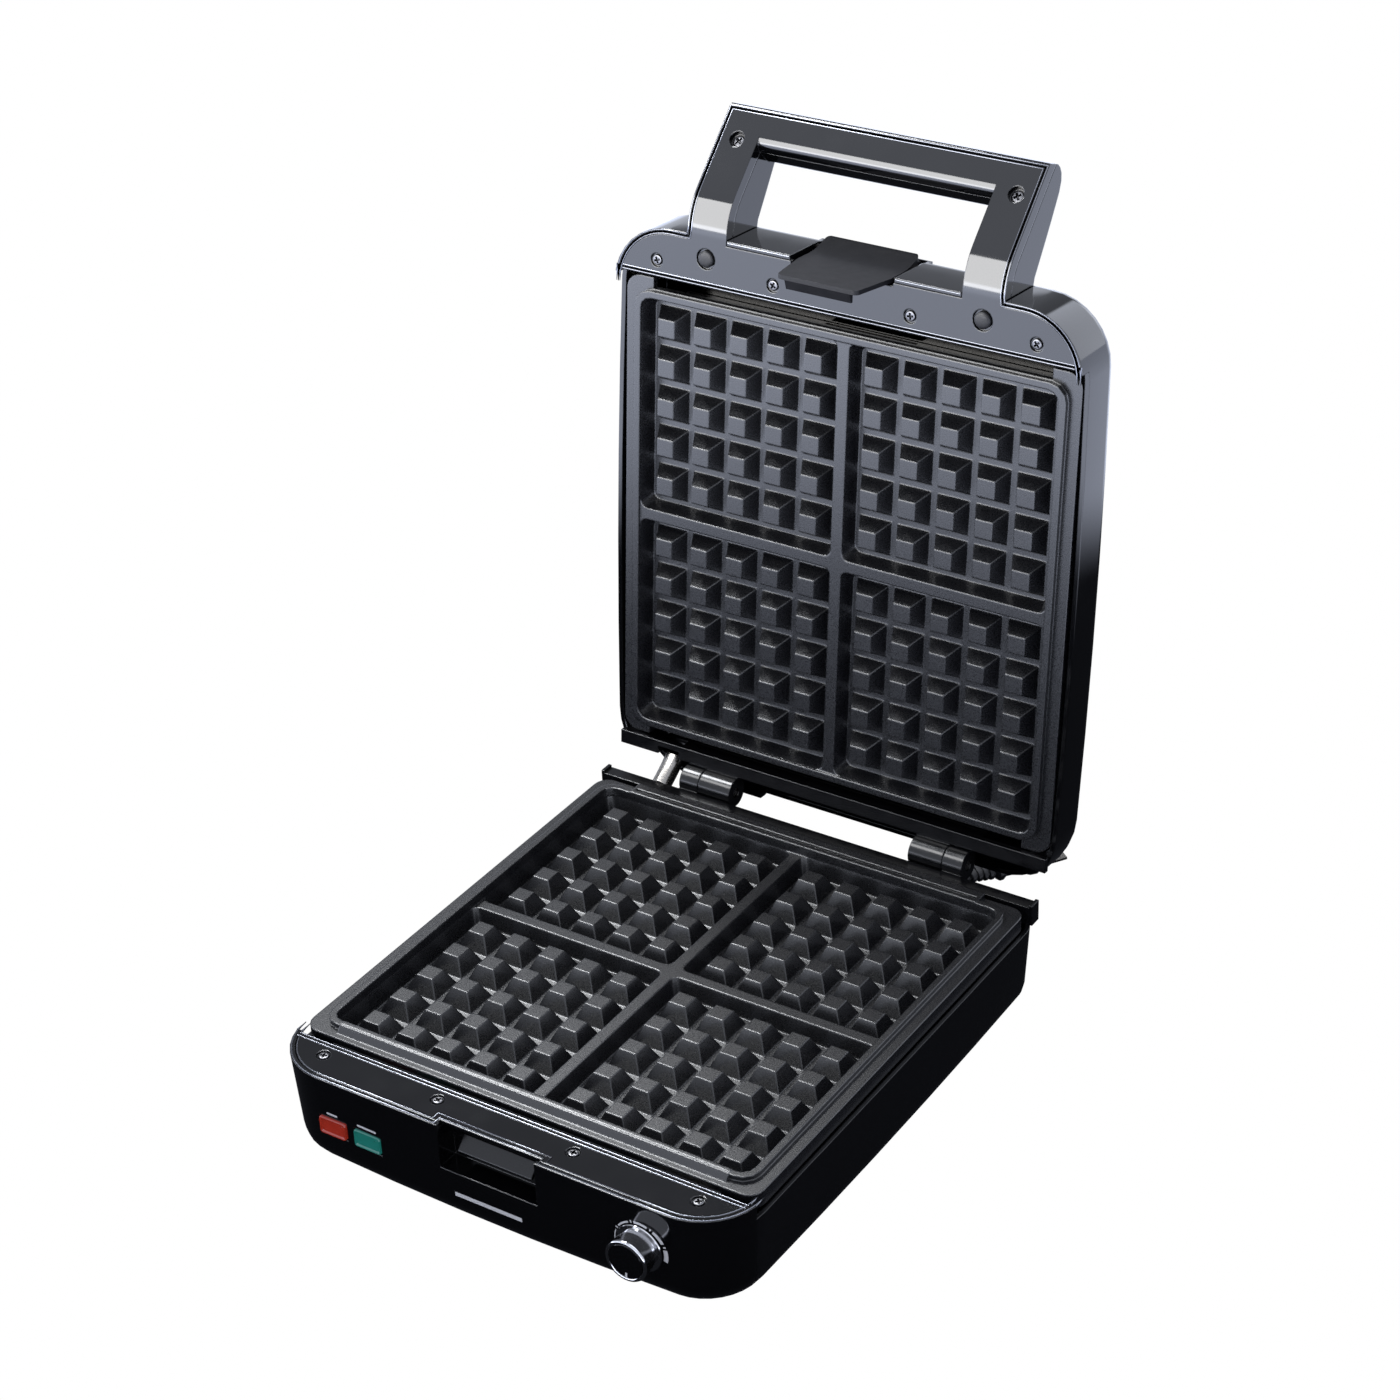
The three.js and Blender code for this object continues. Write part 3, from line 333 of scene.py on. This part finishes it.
def softened(name, width_mm, segments=3, corner=28):
    """A copy of a CAD node with its edges rounded, which stands for the node."""
    source = frame["nodes"][name]
    shape = bmesh.new()
    shape.from_mesh(source.data)
    bmesh.ops.remove_doubles(shape, verts=shape.verts, dist=0.002 * MM)
    bmesh.ops.dissolve_limit(
        shape, angle_limit=math.radians(0.05), verts=shape.verts, edges=shape.edges
    )
    mesh = bpy.data.meshes.new(name + "_look")
    shape.to_mesh(mesh)
    shape.free()
    mesh.shade_smooth()
    obj = add_mesh(name + "_look", mesh, SLOT_OF[name], BODY_OF[name])
    rounding = obj.modifiers.new("rounding", "BEVEL")
    rounding.width = width_mm * MM
    rounding.segments = segments
    rounding.limit_method = "ANGLE"
    rounding.angle_limit = math.radians(corner)
    rounding.use_clamp_overlap = True
    shading = obj.modifiers.new("shading", "WEIGHTED_NORMAL")
    shading.weight = 80
    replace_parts(obj, name)
    return obj


def add_shape(name, shape, slot, body, place=Matrix.Identity(4), look=None):
    """A closed piece from (points, faces) in bench millimetres, drawn with the lid shut."""
    points, faces = shape
    whole = PLACE[body] @ place
    mesh = bpy.data.meshes.new(name)
    mesh.from_pydata([tuple(whole @ Vector(p)) for p in points], [], faces)
    mesh.validate()
    turned = bmesh.new()
    turned.from_mesh(mesh)
    bmesh.ops.recalc_face_normals(turned, faces=turned.faces)
    turned.to_mesh(mesh)
    turned.free()
    mesh.shade_smooth()
    mesh.set_sharp_from_angle(angle=math.radians(40))
    obj = add_mesh(name, mesh, slot, body)
    if look:
        obj.data.materials[0] = look
    return obj


def facing(spot, direction):
    """Moves the origin to the spot and turns +Z to the direction."""
    return Matrix.Translation(spot) @ Vector(direction).to_track_quat("Z", "Y").to_matrix().to_4x4()


def ring(radius, z, sides):
    turns = [2 * math.pi * i / sides for i in range(sides)]
    return [(radius * math.cos(t), radius * math.sin(t), z) for t in turns]


def skin(rings, first_face, last_face):
    """Quads between rings of the same number of points, and the faces that close the ends."""
    count = len(rings[0])
    points = [p for level in rings for p in level]
    faces = []
    for level in range(len(rings) - 1):
        for i in range(count):
            a = level * count + i
            b = level * count + (i + 1) % count
            faces.append((a, b, b + count, a + count))
    if first_face:
        faces.append(tuple(reversed(range(count))))
    if last_face:
        faces.append(tuple(range(len(points) - count, len(points))))
    return points, faces


def lathe(profile, sides=32):
    return skin([ring(radius, z, sides) for radius, z in profile], True, True)


def cross_screw(radius, shank):
    """A screw with a cross recess, its head's top at z = 0 and its shank below."""
    sides = 32
    profile = [
        (1.6, -shank), (1.6, -1.1), (radius, -1.1), (radius, -0.5), (radius * 0.9, -0.12),
        (radius * 0.76, 0),
    ]
    points, faces = skin([ring(r, z, sides) for r, z in profile], True, False)
    rim = list(range(len(points) - sides, len(points)))
    reach = 0.66 * radius
    half = 0.2 * radius
    corner = [(reach, -half), (reach, half), (half, half)]
    cross = []
    for quarter in range(4):
        for x, y in corner:
            for _ in range(quarter):
                x, y = -y, x
            cross.append((x, y))
    top = range(len(points), len(points) + len(cross))
    points += [(x, y, 0) for x, y in cross]
    floor = range(len(points), len(points) + len(cross))
    points += [(0.7 * x, 0.7 * y, -0.95) for x, y in cross]
    order = [*rim, *top]
    outlines = [[Vector(points[k]) for k in rim], [Vector(points[k]) for k in top]]
    faces += [tuple(order[k] for k in corners) for corners in tessellate_polygon(outlines)]
    for i in range(len(cross)):
        after = (i + 1) % len(cross)
        faces.append((top[i], top[after], floor[after], floor[i]))
    faces.append(tuple(floor))
    return points, faces


def rounded_rectangle(half_x, half_y, radius, steps=5):
    points = []
    for quarter, (sx, sy) in enumerate(((1, 1), (-1, 1), (-1, -1), (1, -1))):
        for i in range(steps + 1):
            turn = math.radians(90 * quarter + 90 * i / steps)
            x = sx * (half_x - radius) + radius * math.cos(turn)
            y = sy * (half_y - radius) + radius * math.sin(turn)
            points.append((x, y))
    return points


# ---- Screws, bumpers, lamps -----------------------------------------------------------------
TRIM_SCREW_X = (-105.8, -38.3, 38.3, 105.8)
TRIM_SCREW_Y = -134.2
SCREW_TURNS = (20, 62, 8, 41)  # degrees: no two screws stop at the same turn
BASE_TRIM_TOP = 57.5
LID_TRIM_FACE = 59.3
ARM_BEND_Y = -151
ARM_BEND_RADIUS = 34
ARM_SLOPE = math.radians(40.3)
HANDLE_SCREW_ALONG = 28.3
LAMP_Z = 29.8
LAMP_X = {"power": -91.5, "ready": -70.8}
BUMPER_Y = -140.1
ARM_MIDDLE_X = 77  # the handle's screws and the bumpers are in line with the arms


def handle_place(along, depth):
    """Y and Z of a place on the shut handle's inner face, and below it."""
    end_y = ARM_BEND_Y - ARM_BEND_RADIUS * math.sin(ARM_SLOPE)
    end_z = LID_TRIM_FACE + ARM_BEND_RADIUS * (1 - math.cos(ARM_SLOPE))
    y = end_y - along * math.cos(ARM_SLOPE) + depth * math.sin(ARM_SLOPE)
    z = end_z + along * math.sin(ARM_SLOPE) + depth * math.cos(ARM_SLOPE)
    return y, z


def add_screws():
    for i, (x, turn) in enumerate(zip(TRIM_SCREW_X, SCREW_TURNS), 1):
        spin = Matrix.Rotation(math.radians(turn), 4, "Z")
        on_base = facing((x, TRIM_SCREW_Y, BASE_TRIM_TOP - 0.1), (0, 0, 1)) @ spin
        on_lid = facing((x, TRIM_SCREW_Y, LID_TRIM_FACE + 0.1), (0, 0, -1)) @ spin
        for side, body, place in (("base", "base", on_base), ("lid", "lid", on_lid)):
            name = f"{side}_trim_screw_{i}"
            head = add_shape(name + "_look", cross_screw(2.7, 10), SLOT_OF[name], body, place)
            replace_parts(head, name)
    outwards = (0, -math.sin(ARM_SLOPE), -math.cos(ARM_SLOPE))
    for hand, side in (("left", -1), ("right", 1)):
        y, z = handle_place(HANDLE_SCREW_ALONG, 2.4)
        name = f"handle_screw_{hand}"
        place = facing((side * ARM_MIDDLE_X, y, z), outwards) @ Matrix.Rotation(0.6 * side, 4, "Z")
        head = add_shape(name + "_look", cross_screw(3.1, 11.6), SLOT_OF[name], "lid", place)
        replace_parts(head, name)


def add_bumpers():
    dome = lathe([(4.2, -1.15), (4.3, 0), (4.25, 0.3), (3.9, 0.8), (3.0, 1.15), (1.6, 1.35), (0.3, 1.4)])
    for hand, side in (("left", -1), ("right", 1)):
        name = f"bumper_{hand}"
        place = facing((side * ARM_MIDDLE_X, BUMPER_Y, LID_TRIM_FACE), (0, 0, -1))
        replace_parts(add_shape(name + "_look", dome, SLOT_OF[name], "lid", place), name)


def add_lenses():
    """Each lens is a tray with a raised rim round a sunken window."""
    levels = [(0, 0), (0, 8.3), (0.35, 8.8), (0.9, 8.8), (1.5, 8.2), (5.2, 8.0)]
    half_x, half_y = 7.9, 4.9
    for lamp, x in LAMP_X.items():
        name = f"{lamp}_lamp_lens"
        rings = []
        for inset, z in levels:
            squeeze = min(inset, half_y - 0.8)
            outline = rounded_rectangle(half_x - inset, half_y - squeeze, max(0.4, 1.7 - inset))
            rings.append([(a, b, z) for a, b in outline])
        place = Matrix.Translation((x, -141.1, LAMP_Z)) @ Matrix.Rotation(math.radians(90), 4, "X")
        lens = add_shape(name + "_look", skin(rings, True, True), SLOT_OF[name], "base", place)
        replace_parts(lens, name)


add_screws()
add_bumpers()
add_lenses()


# ---- Printed marks on the front -------------------------------------------------------------
KNOB_X = 83.5
KNOB_Z = 33
KNOB_BACK_Y = -150.1
PRINT_PROUD = 0.07  # millimetres
DIAL_RADIUS = 13.5


def front_depth(x, z):
    """Bench Y of the fascia's outside at this place."""
    fascia = frame["nodes"]["front_fascia"]
    hit, place, _, _ = fascia.ray_cast(bench(x, -300, z), Vector((0, 1, 0)))
    if not hit:
        raise ValueError(f"no fascia at {x}, {z}")
    return place.y / MM + FRAME_CENTRE_Y


def add_print(name, outline):
    """A thin printed patch with this (x, z) outline, laid on the curved fascia."""
    depths = [front_depth(x, z) for x, z in outline]
    front = [(x, y - PRINT_PROUD, z) for (x, z), y in zip(outline, depths)]
    back = [(x, y + PRINT_PROUD, z) for (x, z), y in zip(outline, depths)]
    return add_shape(name, skin([front, back], True, True), "ceramic", "base", look=PRINT)


def arc_band(start, end, inner, outer, steps=8):
    turns = [math.radians(start + (end - start) * i / steps) for i in range(steps + 1)]
    rim = [(KNOB_X + outer * math.cos(t), KNOB_Z + outer * math.sin(t)) for t in turns]
    back = [(KNOB_X + inner * math.cos(t), KNOB_Z + inner * math.sin(t)) for t in reversed(turns)]
    return rim + back


def add_dial():
    """Five dashes round the knob, each thicker than the last, with a dot before each."""
    dashes = 5
    sweep = 44
    for i in range(dashes):
        start = 198 - i * sweep
        width = 0.5 + 0.42 * i
        inner = DIAL_RADIUS - width / 2
        outer = DIAL_RADIUS + width / 2
        add_print(f"dial_dash_{i + 1}", arc_band(start - 9, start - sweep + 5, inner, outer))
        dot = arc_band(start - 1, start - 4, DIAL_RADIUS - 0.5, DIAL_RADIUS + 0.9, 2)
        add_print(f"dial_dot_{i + 1}", dot)


def add_labels():
    """Plain strokes where the lamps and the front carry lettering."""
    for name, length in (("power", 6.4), ("ready", 11.5)):
        x = LAMP_X[name]
        outline = [(x + a, LAMP_Z + 7.6 + b) for a, b in rounded_rectangle(length / 2, 0.55, 0.5, 3)]
        add_print(f"{name}_lamp_mark", outline)
    steps = 8
    top = [(-20 + 38 * i / steps, 21.6) for i in range(steps + 1)]
    bottom = [(x, 19.4) for x, _ in reversed(top)]
    add_print("front_bar", top + bottom)


def add_knob():
    """A turned barrel on a wider foot, with a raised rim round the black cap."""
    profile = [
        (9, 0.2), (12.2, 0.2), (12.5, 0.5), (12.3, 1), (10.1, 1.5), (10.1, 3), (10.7, 3.7),
        (10.75, 9.3), (11, 9.8), (11, 10.7), (10.7, 11.2), (10.2, 11.4), (9.7, 11.3), (9.3, 11),
        (9.3, 9.5),
    ]
    place = facing((KNOB_X, KNOB_BACK_Y, KNOB_Z), (0, -1, 0))
    barrel = add_shape("control_knob_look", lathe(profile, 64), SLOT_OF["control_knob"], "knob", place)
    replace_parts(barrel, "control_knob")


def add_knob_tick():
    tick = [(-0.5, -9), (0.5, -9), (0.5, -6.4), (-0.5, -6.4)]
    rings = [[(KNOB_X + x, y, KNOB_Z + z) for x, z in tick] for y in (-161.28, -161.0)]
    add_shape("knob_tick", skin(rings, True, True), "ceramic", "knob", look=PRINT)


add_dial()
add_labels()
add_knob()
add_knob_tick()


# ---- Raised lines on the trims --------------------------------------------------------------
NOTCH_HALF_X = 28.5
BASE_NOTCH_Y = -145.6
ARM_X = (65.5, 88)
HANDLE_REACH = 45.6  # from the end of the arms' bend to the handle's top edge
TRIM_CORNER = 32
BASE_HALF_X = 130.5
LID_HALF_X = 130.2
BASE_LINE = 0.7  # thickness of the base's ribs
LID_LINE = 0.6
BASE_REAR_X = 126.5
LID_REAR_X = 126

# Name, distance in from the trim's edge, thickness and look of each line round the lid's trim.
LID_LINES = (
    ("lid_trim_line_1", 0.5, LID_LINE, RIB),
    # The middle line is painted shade, a black line standing for a groove.
    ("lid_trim_groove_shade", 1.5, 1.0, PAINTED_GROOVE_SHADE),
    ("lid_trim_line_2", 2.4, LID_LINE, RIB),
)


def corner_path(half, front, radius, inset, rear):
    """Round a trim's left front corner, from the rear end to the start of the straight front."""
    centre_x = half - radius
    centre_y = front + radius
    bend = radius - inset
    steps = 12
    path = [(-half + inset, rear)]
    for i in range(steps + 1):
        turn = math.radians(180 + 90 * i / steps)
        path.append((-centre_x + bend * math.cos(turn), centre_y + bend * math.sin(turn)))
    return path


def both_sides(left_half):
    """A path and its mirror image, as one path from left to right."""
    return left_half + [(-x, y, z) for x, y, z in reversed(left_half)]


def arm_path(inset):
    """Up the outer edge of the left arm and along the handle's top edge to the middle."""
    x = inset - ARM_X[1]
    path = []
    steps = 8
    for i in range(1, steps + 1):
        turn = ARM_SLOPE * i / steps
        y = ARM_BEND_Y - ARM_BEND_RADIUS * math.sin(turn)
        path.append((x, y, LID_TRIM_FACE + ARM_BEND_RADIUS * (1 - math.cos(turn))))
    corner = handle_place(HANDLE_REACH - inset, 0)
    return path + [(x, *corner), (0, *corner)]


def add_line(name, path, thickness, body, look=RIB):
    """A half-sunk round rib along the path."""
    data = bpy.data.curves.new(name, "CURVE")
    data.dimensions = "3D"
    data.bevel_depth = thickness / 2 * MM
    data.bevel_resolution = 2
    data.use_fill_caps = True
    line = data.splines.new("POLY")
    line.points.add(len(path) - 1)
    for spot, place in zip(line.points, path):
        spot.co = (*(PLACE[body] @ Vector(place)), 1)
    obj = bpy.data.objects.new(name, data)
    bpy.context.scene.collection.objects.link(obj)
    dress(obj, "gloss_black")
    data.materials[0] = look
    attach(obj, body)


def add_base_lines():
    front = -150
    for i, inset in enumerate((0.9, 3.5), 1):
        outline = corner_path(BASE_HALF_X, front, TRIM_CORNER, inset, -124.6)
        notch_x = -NOTCH_HALF_X - inset
        outline += [(notch_x, front + inset), (notch_x, BASE_NOTCH_Y + inset)]
        path = both_sides([(x, y, BASE_TRIM_TOP) for x, y in outline])
        add_line(f"base_trim_line_{i}", path, BASE_LINE, "base")
    for i, y in enumerate((-125.8, -128), 1):
        path = [(x, y, BASE_TRIM_TOP) for x in (-BASE_REAR_X, BASE_REAR_X)]
        add_line(f"base_rear_line_{i}", path, BASE_LINE, "base")


def add_lid_lines():
    """The lid's ribs run round each corner, up the arms and along the top of the handle."""
    front = -151.5
    for name, inset, thickness, look in LID_LINES:
        outline = corner_path(LID_HALF_X, front, TRIM_CORNER, inset, -128)
        outline.append((inset - ARM_X[1] - 0.6, front + inset))
        path = [(x, y, LID_TRIM_FACE) for x, y in outline] + arm_path(inset)
        add_line(name, both_sides(path), thickness, "lid", look)
    for hand, side in (("left", -1), ("right", 1)):
        path = [(side * x, front + 0.9, LID_TRIM_FACE) for x in (ARM_X[0] - 1, NOTCH_HALF_X + 1)]
        add_line(f"lid_inner_line_{hand}", path, LID_LINE, "lid")
    for i, y in enumerate((-126.4, -128.2), 1):
        path = [(x, y, LID_TRIM_FACE) for x in (-LID_REAR_X, LID_REAR_X)]
        add_line(f"lid_rear_line_{i}", path, LID_LINE, "lid")
    # A black line of painted shade standing for the groove between the rear ribs.
    groove = [(x, -127.3, LID_TRIM_FACE) for x in (-LID_REAR_X, LID_REAR_X)]
    add_line("lid_rear_groove_shade", groove, 0.9, "lid", PAINTED_GROOVE_SHADE)


add_base_lines()
add_lid_lines()


# ---- Wire sleeve ----------------------------------------------------------------------------
SLEEVE_X = -97.5
SLEEVE_ROUTE = ((143, 57), (148, 60), (153, 63.4), (158, 67.6))
COIL_RADII = (5.15, 5.3)  # a ring between two turns of the coil, and a ring on a turn


def add_wire_sleeve():
    """A close-wound steel coil that carries the wires across the hinge."""
    fine = eased([(SLEEVE_X, y, z) for y, z in SLEEVE_ROUTE], 14)
    sides = 24
    rings = []
    for i, spot in enumerate(fine):
        ahead = fine[min(i + 1, len(fine) - 1)] - fine[max(i - 1, 0)]
        across = Vector((1, 0, 0))
        up = ahead.normalized().cross(across)
        radius = COIL_RADII[i % 2]
        turns = [2 * math.pi * k / sides for k in range(sides)]
        rings.append([tuple(spot + radius * (across * math.cos(t) + up * math.sin(t))) for t in turns])
    points, faces = skin(rings, True, True)
    mesh = bpy.data.meshes.new("wire_sleeve_look")
    mesh.from_pydata([tuple(bench(*p)) for p in points], [], faces)
    mesh.shade_smooth()
    sleeve = bpy.data.objects.new("wire_sleeve_look", mesh)
    bpy.context.scene.collection.objects.link(sleeve)
    dress(sleeve, "steel")
    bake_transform(sleeve)
    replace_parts(sleeve, "wire_sleeve")


# ---- Power cord -----------------------------------------------------------------------------
CORD_DIAMETER = 7
HANK_X = (-115, -45)
HANK_Y = (146, 194)
CORD_HEIGHT = 3.6
SECOND_LAYER = 10.8
INLET_ROUTE = [
    (25, 163.9, 22), (24, 171.8, 21.6), (21, 179, 20.3), (16.2, 185.2, 18.3), (10, 190, 15.8),
    (2.8, 193, 13), (-5, 194, 10.2), (-15, 194, 7), (-25, 194, 4.8), (-35, 194, 3.7), (-45, 194, 3.6),
]
PLUG_ROUTE = [
    (-45, 146, 10.8), (-36, 146, 10.8), (-27, 146, 10.7), (-17, 146, 10), (-7, 146, 8.8), (3.6, 146, 7.2),
    (13.6, 146, 5.8), (21.4, 147, 4.9), (28.6, 150, 4.2), (34.8, 154.8, 3.8), (39.6, 161, 3.6),
    (42.6, 168.2, 3.6), (43.6, 176, 3.6), (43.6, 186, 3.6), (43.6, 195.7, 3.7), (44.4, 202.4, 4.2),
    (46.6, 208.9, 5), (50, 214.2, 6),
]


def hank_route():
    """Two turns round a long loop, the second on top of the first."""
    x0, x1 = HANK_X
    near, far = HANK_Y
    radius = (far - near) / 2
    middle = (far + near) / 2
    steps = 14
    points = []
    for layer in (0, 1):
        z = (CORD_HEIGHT, SECOND_LAYER)[layer]
        for i in range(1, steps):
            points.append((x1 + (x0 - x1) * i / steps, far, z))
        for i in range(steps + 1):
            turn = math.radians(90 + 180 * i / steps)
            points.append((x0 + radius * math.cos(turn), middle + radius * math.sin(turn), z))
        for i in range(1, steps):
            points.append((x0 + (x1 - x0) * i / steps, near, z))
        if layer == 0:
            for i in range(steps + 1):
                turn = math.radians(-90 + 180 * i / steps)
                share = min(1, max(0, (i / steps - 0.23) / 0.54))
                rise = (1 - math.cos(math.pi * share)) / 2
                z = CORD_HEIGHT + (SECOND_LAYER - CORD_HEIGHT) * rise
                points.append((x1 + radius * math.cos(turn), middle + radius * math.sin(turn), z))
    return points


def eased(points, pieces=4):
    """A Catmull-Rom curve through the points."""
    path = [Vector(p) for p in points]
    ends = [path[0] * 2 - path[1], *path, path[-1] * 2 - path[-2]]
    result = []
    for a, b, c, d in zip(ends, ends[1:], ends[2:], ends[3:]):
        for i in range(pieces):
            t = i / pieces
            square = (2 * a - 5 * b + 4 * c - d) * t**2
            cube = (3 * b - a - 3 * c + d) * t**3
            result.append(0.5 * (2 * b + (c - a) * t + square + cube))
    result.append(path[-1])
    return result


def make_cord():
    path = eased([*INLET_ROUTE, *hank_route(), *PLUG_ROUTE])
    length = sum((b - a).length for a, b in zip(path, path[1:]))
    data = bpy.data.curves.new("power_cord", "CURVE")
    data.dimensions = "3D"
    data.bevel_depth = CORD_DIAMETER / 2 * MM
    data.bevel_resolution = 5
    data.use_fill_caps = True
    line = data.splines.new("POLY")
    line.points.add(len(path) - 1)
    for spot, place in zip(line.points, path):
        spot.co = (*bench(*place), 1)
    line.use_smooth = True
    cord = bpy.data.objects.new("power_cord", data)
    bpy.context.scene.collection.objects.link(cord)
    dress(cord, "rubber")
    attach(cord, "base")
    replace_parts(cord, "cord_inlet_run", "cord_hank", "cord_plug_run")
    print("cord length mm", round(length, 1))
    return cord, length * MM


# ---- Rounded pieces -------------------------------------------------------------------------
ROUNDING_MM = {
    "base_housing": 0.7,
    "front_fascia": 0.7,
    "base_trim": 0.35,
    "lid_shell": 0.7,
    "lid_top_panel": 0.4,
    "handle_frame": 1.4,
    "handle_cover": 2.0,
    "lower_plate": 0.8,
    "upper_plate": 0.8,
    "base_hinge_bridge": 0.5,
    "lid_hinge_bridge": 0.5,
    "latch": 0.6,
    "latch_catch": 0.6,
    "knob_cap": 0.1,
    "plug_body": 0.5,
    "cord_gland": 0.4,
}
for piece_name, width in ROUNDING_MM.items():
    piece = softened(piece_name, width)
    if piece_name == "latch":
        piece.data.materials[0] = MATTE

for node_name, obj in frame["nodes"].items():
    obj.data.materials.clear()
    obj.data.materials.append(LOOKS[SLOT_OF[node_name]])

add_wire_sleeve()


TIE_X = (-83, -82.6, -77.4, -77)  # places of the outline along the tie's width
TIE_Z = 7.3


def add_cord_tie():
    """A flat twist tie round the middle of the folded cord."""
    outline = rounded_rectangle((HANK_Y[1] - HANK_Y[0]) / 2 + 4.1, 7.7, 4)
    middle_y = (HANK_Y[0] + HANK_Y[1]) / 2
    rings = [[(x, middle_y + y, TIE_Z + z) for y, z in outline] for x in TIE_X]
    return add_shape("cord_tie", skin(rings, True, True), "rubber", "base")


cord, cord_length = make_cord()
cord_tie = add_cord_tie()


# ---- Light ----------------------------------------------------------------------------------
def area_light(name, place, target, size, power, color=(1, 1, 1)):
    data = bpy.data.lights.new(name, "AREA")
    data.shape = "RECTANGLE"
    data.size, data.size_y = size
    data.energy = power
    data.color = color
    light = bpy.data.objects.new(name, data)
    bpy.context.scene.collection.objects.link(light)
    light.location = place
    light.rotation_mode = "QUATERNION"
    light.rotation_quaternion = (Vector(target) - Vector(place)).to_track_quat("-Z", "Y")
    return light


def shader_node(tree, kind, **inputs):
    made = tree.nodes.new(kind)
    for name, value in inputs.items():
        made.inputs[name.replace("_", " ")].default_value = value
    return made


def stepped(tree, source, low, high, from_value, to_value):
    """from_value where source is under low, to_value where it is over high, eased between."""
    ramp = tree.nodes.new("ShaderNodeMapRange")
    ramp.interpolation_type = "SMOOTHSTEP"
    for name, value in (("From Min", low), ("From Max", high), ("To Min", from_value), ("To Max", to_value)):
        ramp.inputs[name].default_value = value
    tree.links.new(source, ramp.inputs["Value"])
    return ramp.outputs["Result"]


def blended(tree, share, first, second):
    mix = tree.nodes.new("ShaderNodeMix")
    tree.links.new(share, mix.inputs["Factor"])
    tree.links.new(first, mix.inputs["A"])
    tree.links.new(second, mix.inputs["B"])
    return mix.outputs["Result"]


def make_room():
    """White to the camera. In reflections: bright low down ahead, and dimmer behind."""
    world = bpy.data.worlds.new("studio")
    bpy.context.scene.world = world
    world.use_nodes = True
    tree = world.node_tree
    tree.nodes.clear()
    place = tree.nodes.new("ShaderNodeTexCoord")
    split = tree.nodes.new("ShaderNodeSeparateXYZ")
    tree.links.new(place.outputs["Generated"], split.inputs["Vector"])
    height = split.outputs["Z"]
    ahead = stepped(tree, height, 0.05, 0.1, 8, 1.6)
    behind_left = stepped(tree, height, 0.13, 0.2, 1.35, 0.4)
    behind_right = stepped(tree, split.outputs["X"], 0.45, 0.75, 2.9, 1.3)
    right_share = stepped(tree, split.outputs["X"], -0.12, -0.06, 0, 1)
    behind = blended(tree, right_share, behind_left, behind_right)
    strength = blended(tree, stepped(tree, split.outputs["Y"], -0.1, 0.1, 0, 1), ahead, behind)
    room = shader_node(tree, "ShaderNodeBackground", Color=(0.9, 0.95, 1.08, 1))
    tree.links.new(strength, room.inputs["Strength"])
    seen = shader_node(tree, "ShaderNodeBackground", Color=(1, 1, 1, 1))
    path = tree.nodes.new("ShaderNodeLightPath")
    mix = tree.nodes.new("ShaderNodeMixShader")
    out = tree.nodes.new("ShaderNodeOutputWorld")
    tree.links.new(path.outputs["Is Camera Ray"], mix.inputs["Fac"])
    tree.links.new(room.outputs["Background"], mix.inputs[1])
    tree.links.new(seen.outputs["Background"], mix.inputs[2])
    tree.links.new(mix.outputs["Shader"], out.inputs["Surface"])


def make_table():
    """The tabletop, seen only in reflections: emission with a painted shadow, dark close to the object,
    bright further off.
    """
    half = 8
    mesh = bpy.data.meshes.new("tabletop")
    corners = [(-half, -half, 0), (half, -half, 0), (half, half, 0), (-half, half, 0)]
    mesh.from_pydata(corners, [], [(0, 1, 2, 3)])
    table = bpy.data.objects.new("tabletop", mesh)
    bpy.context.scene.collection.objects.link(table)
    table.location.z = -0.0005
    table.visible_camera = False
    material = bpy.data.materials.new("tabletop")
    material.use_nodes = True
    tree = material.node_tree
    tree.nodes.clear()
    place = tree.nodes.new("ShaderNodeTexCoord")
    distance = tree.nodes.new("ShaderNodeVectorMath")
    distance.operation = "LENGTH"
    tree.links.new(place.outputs["Object"], distance.inputs[0])
    split = tree.nodes.new("ShaderNodeSeparateXYZ")
    tree.links.new(place.outputs["Object"], split.inputs["Vector"])
    # Painted shadow: the emission is nearly black close to the object, standing in for its shadow on the
    # table.
    near_front = stepped(tree, distance.outputs["Value"], 0.5, 0.8, 0.02, 4.6)
    far_front = stepped(tree, distance.outputs["Value"], 0.8, 3.2, 0, 1.6)
    front = tree.nodes.new("ShaderNodeMath")
    tree.links.new(near_front, front.inputs[0])
    tree.links.new(far_front, front.inputs[1])
    rear = stepped(tree, distance.outputs["Value"], 0.6, 0.75, 0.02, 1.6)
    total = blended(tree, stepped(tree, split.outputs["Y"], -0.1, 0.1, 0, 1), front.outputs["Value"], rear)
    glow = shader_node(tree, "ShaderNodeEmission", Color=(0.86, 0.93, 1.14, 1))
    tree.links.new(total, glow.inputs["Strength"])
    out = tree.nodes.new("ShaderNodeOutputMaterial")
    tree.links.new(glow.outputs["Emission"], out.inputs["Surface"])
    table.data.materials.append(material)


def make_light():
    make_room()
    make_table()
    area_light("top_softbox", (-0.86, 0.36, 1.53), (0, 0.1, 0.2), (1.0, 0.3), 50, (0.95, 0.97, 1))
    card = area_light("lid_card", (-0.2, -0.12, 0.525), (-0.2, 1, 0.525), (0.5, 0.33), 7)
    card.visible_camera = False
    card.visible_diffuse = False


make_light()
bpy.context.scene.view_settings.view_transform = "Standard"
